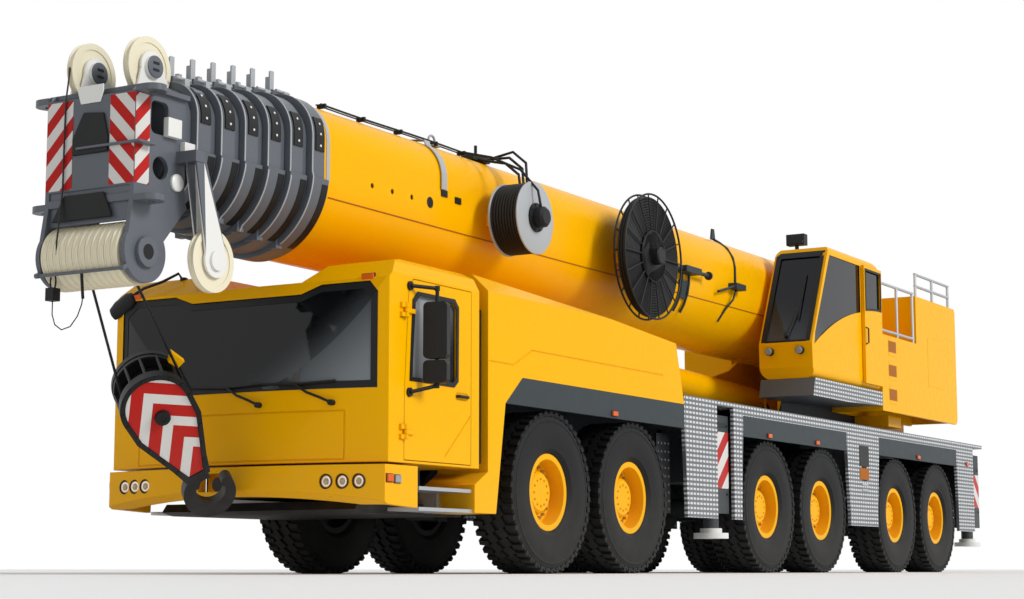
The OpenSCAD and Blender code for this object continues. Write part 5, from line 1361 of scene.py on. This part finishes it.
# %% Boom head
STRIPE = 0.162
slash = stripe_material("stripes_front_right", STRIPE, ((0, 1, -1), 0.05))
backslash = stripe_material("stripes_front_left", STRIPE, ((0, 1, 1), 0.0))
cheek_band = stripe_material("stripes_cheek", STRIPE, ((1, 0, 1), 0.1))
LOW, HIGH = 2.95, HEAD_TOP - 0.075
shape = bmesh.new()
add_box(shape, (HEAD_FRONT - 0.002, -0.445, LOW), (HEAD_FRONT + 0.004, -0.18, HIGH))
piece("head_strip_right", shape, "boom_section_6", slash)
shape = bmesh.new()
add_box(shape, (HEAD_FRONT - 0.002, 0.20, LOW), (HEAD_FRONT + 0.004, 0.445, HIGH))
piece("head_strip_left", shape, "boom_section_6", backslash)
shape = bmesh.new()
for sign in (-1, 1):
    on_cheek = (HEAD_HALF - 0.002, HEAD_HALF + 0.004)
    add_side_box(shape, sign, (HEAD_FRONT - 0.165, HEAD_FRONT - 0.004), on_cheek, (LOW, HIGH))
piece("head_strip_cheeks", shape, "boom_section_6", cheek_band)

shape = bmesh.new()
pad = [(-0.06, 3.54), (0.14, 3.52), (0.19, 3.33), (0.19, 3.21), (-0.17, 3.21), (-0.17, 3.34)]
add_slab(shape, [(HEAD_FRONT - 0.002, y, z) for y, z in pad], (0.022, 0, 0))
low_pad = [(-0.24, 2.90), (0.16, 2.90), (0.25, 2.70), (-0.36, 2.70)]
add_slab(shape, [(HEAD_FRONT - 0.004, y, z) for y, z in low_pad], (0.024, 0, 0))
piece("head_pads", shape, "boom_section_6", PLASTIC, bevel=0.006)

shape = bmesh.new()
add_box(shape, (HEAD_FRONT - 0.030, -HEAD_HALF + 0.04, 2.87), (HEAD_FRONT - 0.012, HEAD_HALF - 0.04, 2.94))
add_box(shape, (HEAD_FRONT - 0.040, -HEAD_HALF + 0.04, 2.668), (HEAD_FRONT - 0.022, HEAD_HALF - 0.04, 2.88))
add_box(shape, (HEAD_FRONT - 0.16, -0.12, 3.25), (HEAD_FRONT + 0.03, HEAD_HALF + 0.075, 3.268))
piece("head_plates", shape, "boom_section_6", GREY)

shape = bmesh.new()
apron = [(-0.10, 3.61), (0.10, 3.61), (0.13, 3.70), (0.13, 3.75), (-0.13, 3.75), (-0.13, 3.70)]
add_slab(shape, [(HEAD_FRONT + 0.0005, y, z) for y, z in apron], (0.010, 0, 0))
for x, z in ((8.10, 3.20), (8.30, 3.36)):
    add_box(shape, (x, HEAD_HALF - 0.002, z), (x + 0.16, HEAD_HALF + 0.05, z + 0.15))
add_lathe(shape, [(0.07, -0.002), (0.07, 0.02), (0.05, 0.03)], (8.30, HEAD_HALF, 3.02), (0, 1, 0), 24)
piece("head_fittings", shape, "boom_section_6", WHITE, bevel=0.004)

shape = bmesh.new()
SHEAVES = [(8.5225, -0.25, 3.92), (8.3825, 0.20, 3.95)]
for x, y, z in SHEAVES:
    for sign in (-1, 1):
        cap = [(0.090, -0.002), (0.090, 0.007), (0.078, 0.011), (0.010, 0.011)]
        add_lathe(shape, cap, (x, y + sign * 0.0820, z), (0, sign, 0), 32)
        bar_y = y + sign * 0.093
        for bar_z in (z - 0.025, z + 0.03):
            add_box(shape, (x - 0.035, bar_y - 0.004, bar_z - 0.010),
                    (x + 0.035, bar_y + 0.004, bar_z + 0.010), 1)
for sign in (-1, 1):
    face = (HEAD_AXLE.x, sign * (HEAD_HALF + 0.0295), HEAD_AXLE.z)
    washer = [(0.118, -0.002), (0.118, 0.006), (0.062, 0.006), (0.058, 0.001)]
    add_lathe(shape, washer, face, (0, sign, 0), 40)
    # A black disc in each washer's bore is painted shade of the bore.
    shaded_bore = (HEAD_AXLE.x, sign * (HEAD_HALF + 0.0305), HEAD_AXLE.z)
    add_lathe(shape, [(0.060, 0.0), (0.060, 0.0025)], shaded_bore, (0, sign, 0), 32, 1)
piece("axle_caps", shape, "boom_section_6", GREY, BLACK)

shape = bmesh.new()
rope = [(8.769, -0.25, 3.93), (8.775, -0.25, 3.85), (8.800, -0.25, 3.67), (8.806, -0.25, 3.40),
        (8.808, -0.25, 2.95), (8.840, -0.246, 2.70), (8.866, -0.242, 2.52), (8.870, -0.24, 2.43)]
add_pipe(shape, rope, 0.007, 8)
GUARD = HEAD_AXLE + Vector((0.226, 0, -0.147))
add_box(shape, (GUARD.x - 0.075, -0.34, GUARD.z - 0.20), (GUARD.x + 0.005, -0.26, GUARD.z - 0.10))
add_pipe(shape, [(GUARD.x - 0.035, -0.30 + 0.028 * u, GUARD.z - 0.05 + 0.066 * v)
                 for u, v in circle(16, 1.0, True)], 0.007, 6)
loop = [(-0.30, 2.09), (-0.30, 1.98), (-0.27, 1.90), (-0.20, 1.855), (-0.11, 1.875), (-0.04, 1.95),
        (0.0, 2.04), (0.01, 2.10)]
add_pipe(shape, [(GUARD.x - 0.035, y, z) for y, z in loop], 0.005, 6)
add_rod(shape, (GUARD.x - 0.035, 0.01, 2.08), (GUARD.x - 0.012, 0.01, GUARD.z), 0.012, 10)
piece("head_ropes", shape, "boom_section_6", BLACK)
print("head pieces: 8")

# %% [markdown]
# The hook block hangs askew, so its stripes are worked out in the block's own axes and then turned with
# it. Two directions meet in a chevron on each cheek. The rim is bolted on.

# %% Hook block
TILT, TURN = math.radians(45), math.radians(-47)
BLOCK = (Matrix.Translation((HEAD_AXLE.x - 0.67, 0.032, 1.335)) @ Matrix.Rotation(TILT, 4, "Y")
         @ Matrix.Rotation(TURN, 4, "Z"))
APEX = BLOCK @ Vector((0.028, 0, 0.262))
slants = []
for x, z in ((-0.843, -0.538), (0.592, -0.806)):
    direction = BLOCK.to_3x3() @ Vector((x, 0, z))
    slants.append((direction, direction.normalized().dot(APEX)))
CHEVRON_PERIOD = 0.178
CHEVRON = stripe_material("stripes_block", CHEVRON_PERIOD, *slants, share=0.45)
HALF = 0.215
shape = bmesh.new()
arc = [(0.246 * math.cos(t), 0.09 + 0.246 * math.sin(t)) for t in np.linspace(0, math.pi, 25)]
taper = [(-0.236, -0.12), (-0.106, -0.48), (-0.062, -0.595), (0.062, -0.595), (0.106, -0.48), (0.236, -0.12)]
for sign in (-1, 1):
    outline = [BLOCK @ Vector((x, sign * (HALF - 0.001), z)) for x, z in arc + taper]
    add_slab(shape, outline, BLOCK.to_3x3() @ Vector((0, sign * 0.005, 0)))
piece("block_chevrons", shape, "hook_block", CHEVRON)

shape = bmesh.new()
rim = [(0.27 * math.cos(t), 0.09 + 0.27 * math.sin(t)) for t in np.linspace(-0.1, math.pi + 0.1, 9)]
rim += [(s * x, z) for s in (-1, 1) for x, z in ((0.222, -0.22), (0.168, -0.37), (0.118, -0.51))]
for sign in (-1, 1):
    out = BLOCK.to_3x3() @ Vector((0, sign, 0))
    for x, z in rim:
        add_bolt(shape, BLOCK @ Vector((x, sign * (HALF + 0.014), z)), out, 0.013, 0.011)
    cap = BLOCK @ Vector((0, sign * (HALF + 0.03), 0))
    add_lathe(shape, [(0.060, -0.002), (0.060, 0.006), (0.030, 0.006), (0.030, 0.001)], cap, out, 32)
piece("block_bolts", shape, "hook_block", BLACK)

shape = bmesh.new()
tag = [BLOCK @ Vector((x, -0.10, z))
       for x, z in ((-0.350, 0.20), (-0.276, 0.17), (-0.235, 0.26), (-0.30, 0.33))]
add_slab(shape, tag, BLOCK.to_3x3() @ Vector((0, 0.05, 0)))
piece("block_tag", shape, "hook_block", YELLOW)
print("chevron period:", CHEVRON_PERIOD, "m, bolts:", 2 * len(rim))

# %% [markdown]
# ## Chassis details
# Each outrigger carries a striped plate on its end, over the jack.

# %% Outrigger plates
LEG_STRIPE = 0.24
end_front = stripe_material("stripes_leg_front", LEG_STRIPE, ((1, 0, 1), 0.02))
end_rear = stripe_material("stripes_leg_rear", LEG_STRIPE, ((1, 0, -1), 0.0))
JACK_OUT = max(v.co.y for v in nodes["leg_beam_front_left"].data.vertices)


def dress_leg(side, sign):
    for end, (low, high) in (("front", (0.91, 1.52)), ("rear", (0.93, 1.41))):
        x = LEG_X[end]
        on_end = (JACK_OUT - 0.002, JACK_OUT + 0.005)
        shape = bmesh.new()
        add_side_box(shape, sign, about(x, 0.160), on_end, (low, high))
        plate = end_front if end == "front" else end_rear
        piece(f"leg_plate_{end}_{side}", shape, f"leg_beam_{end}_{side}", plate)
        shape = bmesh.new()
        for dx in (-0.125, 0.125):
            for z in (low - 0.06, high + 0.07):
                add_bolt(shape, (x + dx, sign * JACK_OUT, z), (0, sign, 0), 0.016, 0.012)
        # The slot is a black box on the end plate: painted shade of the opening.
        add_side_box(shape, sign, about(x, 0.10), on_end, (high + 0.05, high + 0.10))
        piece(f"leg_slot_{end}_{side}", shape, f"leg_beam_{end}_{side}", BLACK)


on_both(dress_leg)
print("outrigger plates: 4, reach", round(JACK_OUT, 3))

# %% [markdown]
# Between the axles the side panel shows a dark field, painted shade of a recess, over a brown lamp, with two
# step bars below. A perforated plate closes the space behind the second wheel, black plates close the wheel
# bays as painted shade, and tail lamps stand on the rear of the frame.

# %% Recess, perforated plate and tail lamps
RECESS_X = (SLEW_X - 0.18, SLEW_X + 0.14)
BAY_HIGH = (1.02, 1.60)
lens, bars, plate = bmesh.new(), bmesh.new(), bmesh.new()
for sign in (-1, 1):
    add_side_box(lens, sign, (SLEW_X - 0.10, SLEW_X + 0.06), (HALF_W - 0.16, HALF_W - 0.03), (1.20, 1.35))
    on_panel = (HALF_W - 0.004, HALF_W + 0.006)
    add_side_box(lens, sign, RECESS_X, on_panel, (1.16, 1.31))
    # This dark plate on the panel is painted shade, standing for the depth of the recess.
    add_side_box(plate, sign, RECESS_X, on_panel, (1.33, 1.59))
    for z in (1.02, 1.09):
        add_side_box(bars, sign, (SLEW_X - 0.12, SLEW_X + 0.08), (HALF_W - 0.004, HALF_W + 0.012),
                     (z, z + 0.025))
    add_side_box(plate, sign, (AXLE_X[2] - 1.12, AXLE_X[2] - 0.80), (HALF_W - 0.20, HALF_W - 0.18),
                 (0.62, 1.44))
    # These black plates are painted shade that closes the bay behind the last axle and the wheel bays.
    add_side_box(plate, sign, about(AXLE_X[6] - 0.85, 0.01), (HALF_W - 0.95, HALF_W - 0.03), (0.95, 1.655))
    in_bay = (HALF_W - 0.98, HALF_W - 0.95)
    add_side_box(plate, sign, (AXLE_X[6] - 1.35, AXLE_X[5] + 0.9), in_bay, BAY_HIGH)
    add_side_box(plate, sign, (AXLE_X[4] - 0.9, AXLE_X[3] + 0.9), in_bay, BAY_HIGH)
piece("recess_lamps", lens, "carrier", SHADE_BROWN, bevel=0.012)
piece("step_bars", bars, "carrier", ZINC)
holes = grown(row_tree, Count=9, Start=(0, 0, 0.66), Step=(0, 0, 0.085), Radius=0.012, Height=0.004, Sides=12,
              Turn=(math.pi / 2, 0, 0), Material=STEEL)
for sign in (-1, 1):
    for column in range(4):
        place = (AXLE_X[2] - 1.08 + 0.08 * column, sign * (HALF_W - 0.179), 0)
        add_mesh(plate, holes, Matrix.Translation(place), 1)
piece("inner_and_shade_plates", plate, "carrier", BLACK, GREY)

lamp, back = bmesh.new(), bmesh.new()
REAR_X = cad_box[0].x
TAIL_LENS = [(0.034, 0.0), (0.032, 0.008), (0.015, 0.012), (0.002, 0.012)]
for sign in (-1, 1):
    add_side_box(back, sign, (REAR_X + 0.004, REAR_X + 0.030), (0.22, 0.46), (1.36, 1.52))
    for k, y in enumerate((0.26, 0.34, 0.42)):
        add_lathe(lamp, TAIL_LENS, (REAR_X + 0.006, sign * y, 1.44), (-1, 0, 0), 24, k == 0)
piece("tail_boxes", back, "carrier", PLASTIC, bevel=0.006)
piece("tail_lamps", lamp, "carrier", RED_LENS, ORANGE)
print("tail lamps: 6")

# %% [markdown]
# A pale fin stands on each collar beside its post, with a short rod in a clip for the cables.

# %% Fins on the collars
FIN = [(0.068, 0.03), (0.012, 0.03), (0.012, 0.235), (0.024, 0.245), (0.068, 0.245)]
for i in range(6):
    shape = bmesh.new()
    top = BOOM_Z + BOOM_HALF_H - SECTION_STEP * i
    front = SECTION_FRONT[i]
    add_slab(shape, [(front - x, 0.196, top + z) for x, z in FIN], (0, 0.014, 0))
    add_rod(shape, (front - 0.16, 0.30, top + 0.052), (front + 0.02, 0.30, top + 0.052), 0.014)
    add_box(shape, (front - 0.12, 0.27, top - 0.02), (front - 0.06, 0.33, top + 0.05))
    piece(f"collar_fin_{i}", shape, section_body(i), PALE_GREY)
print("collar fins: 6")

# %% Sizes and finish
bpy.context.view_layer.update()
dressed_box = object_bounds()
sizes = {"cad": [list(corner) for corner in cad_box], "visual": [list(corner) for corner in dressed_box]}
print("sizes:", sizes)
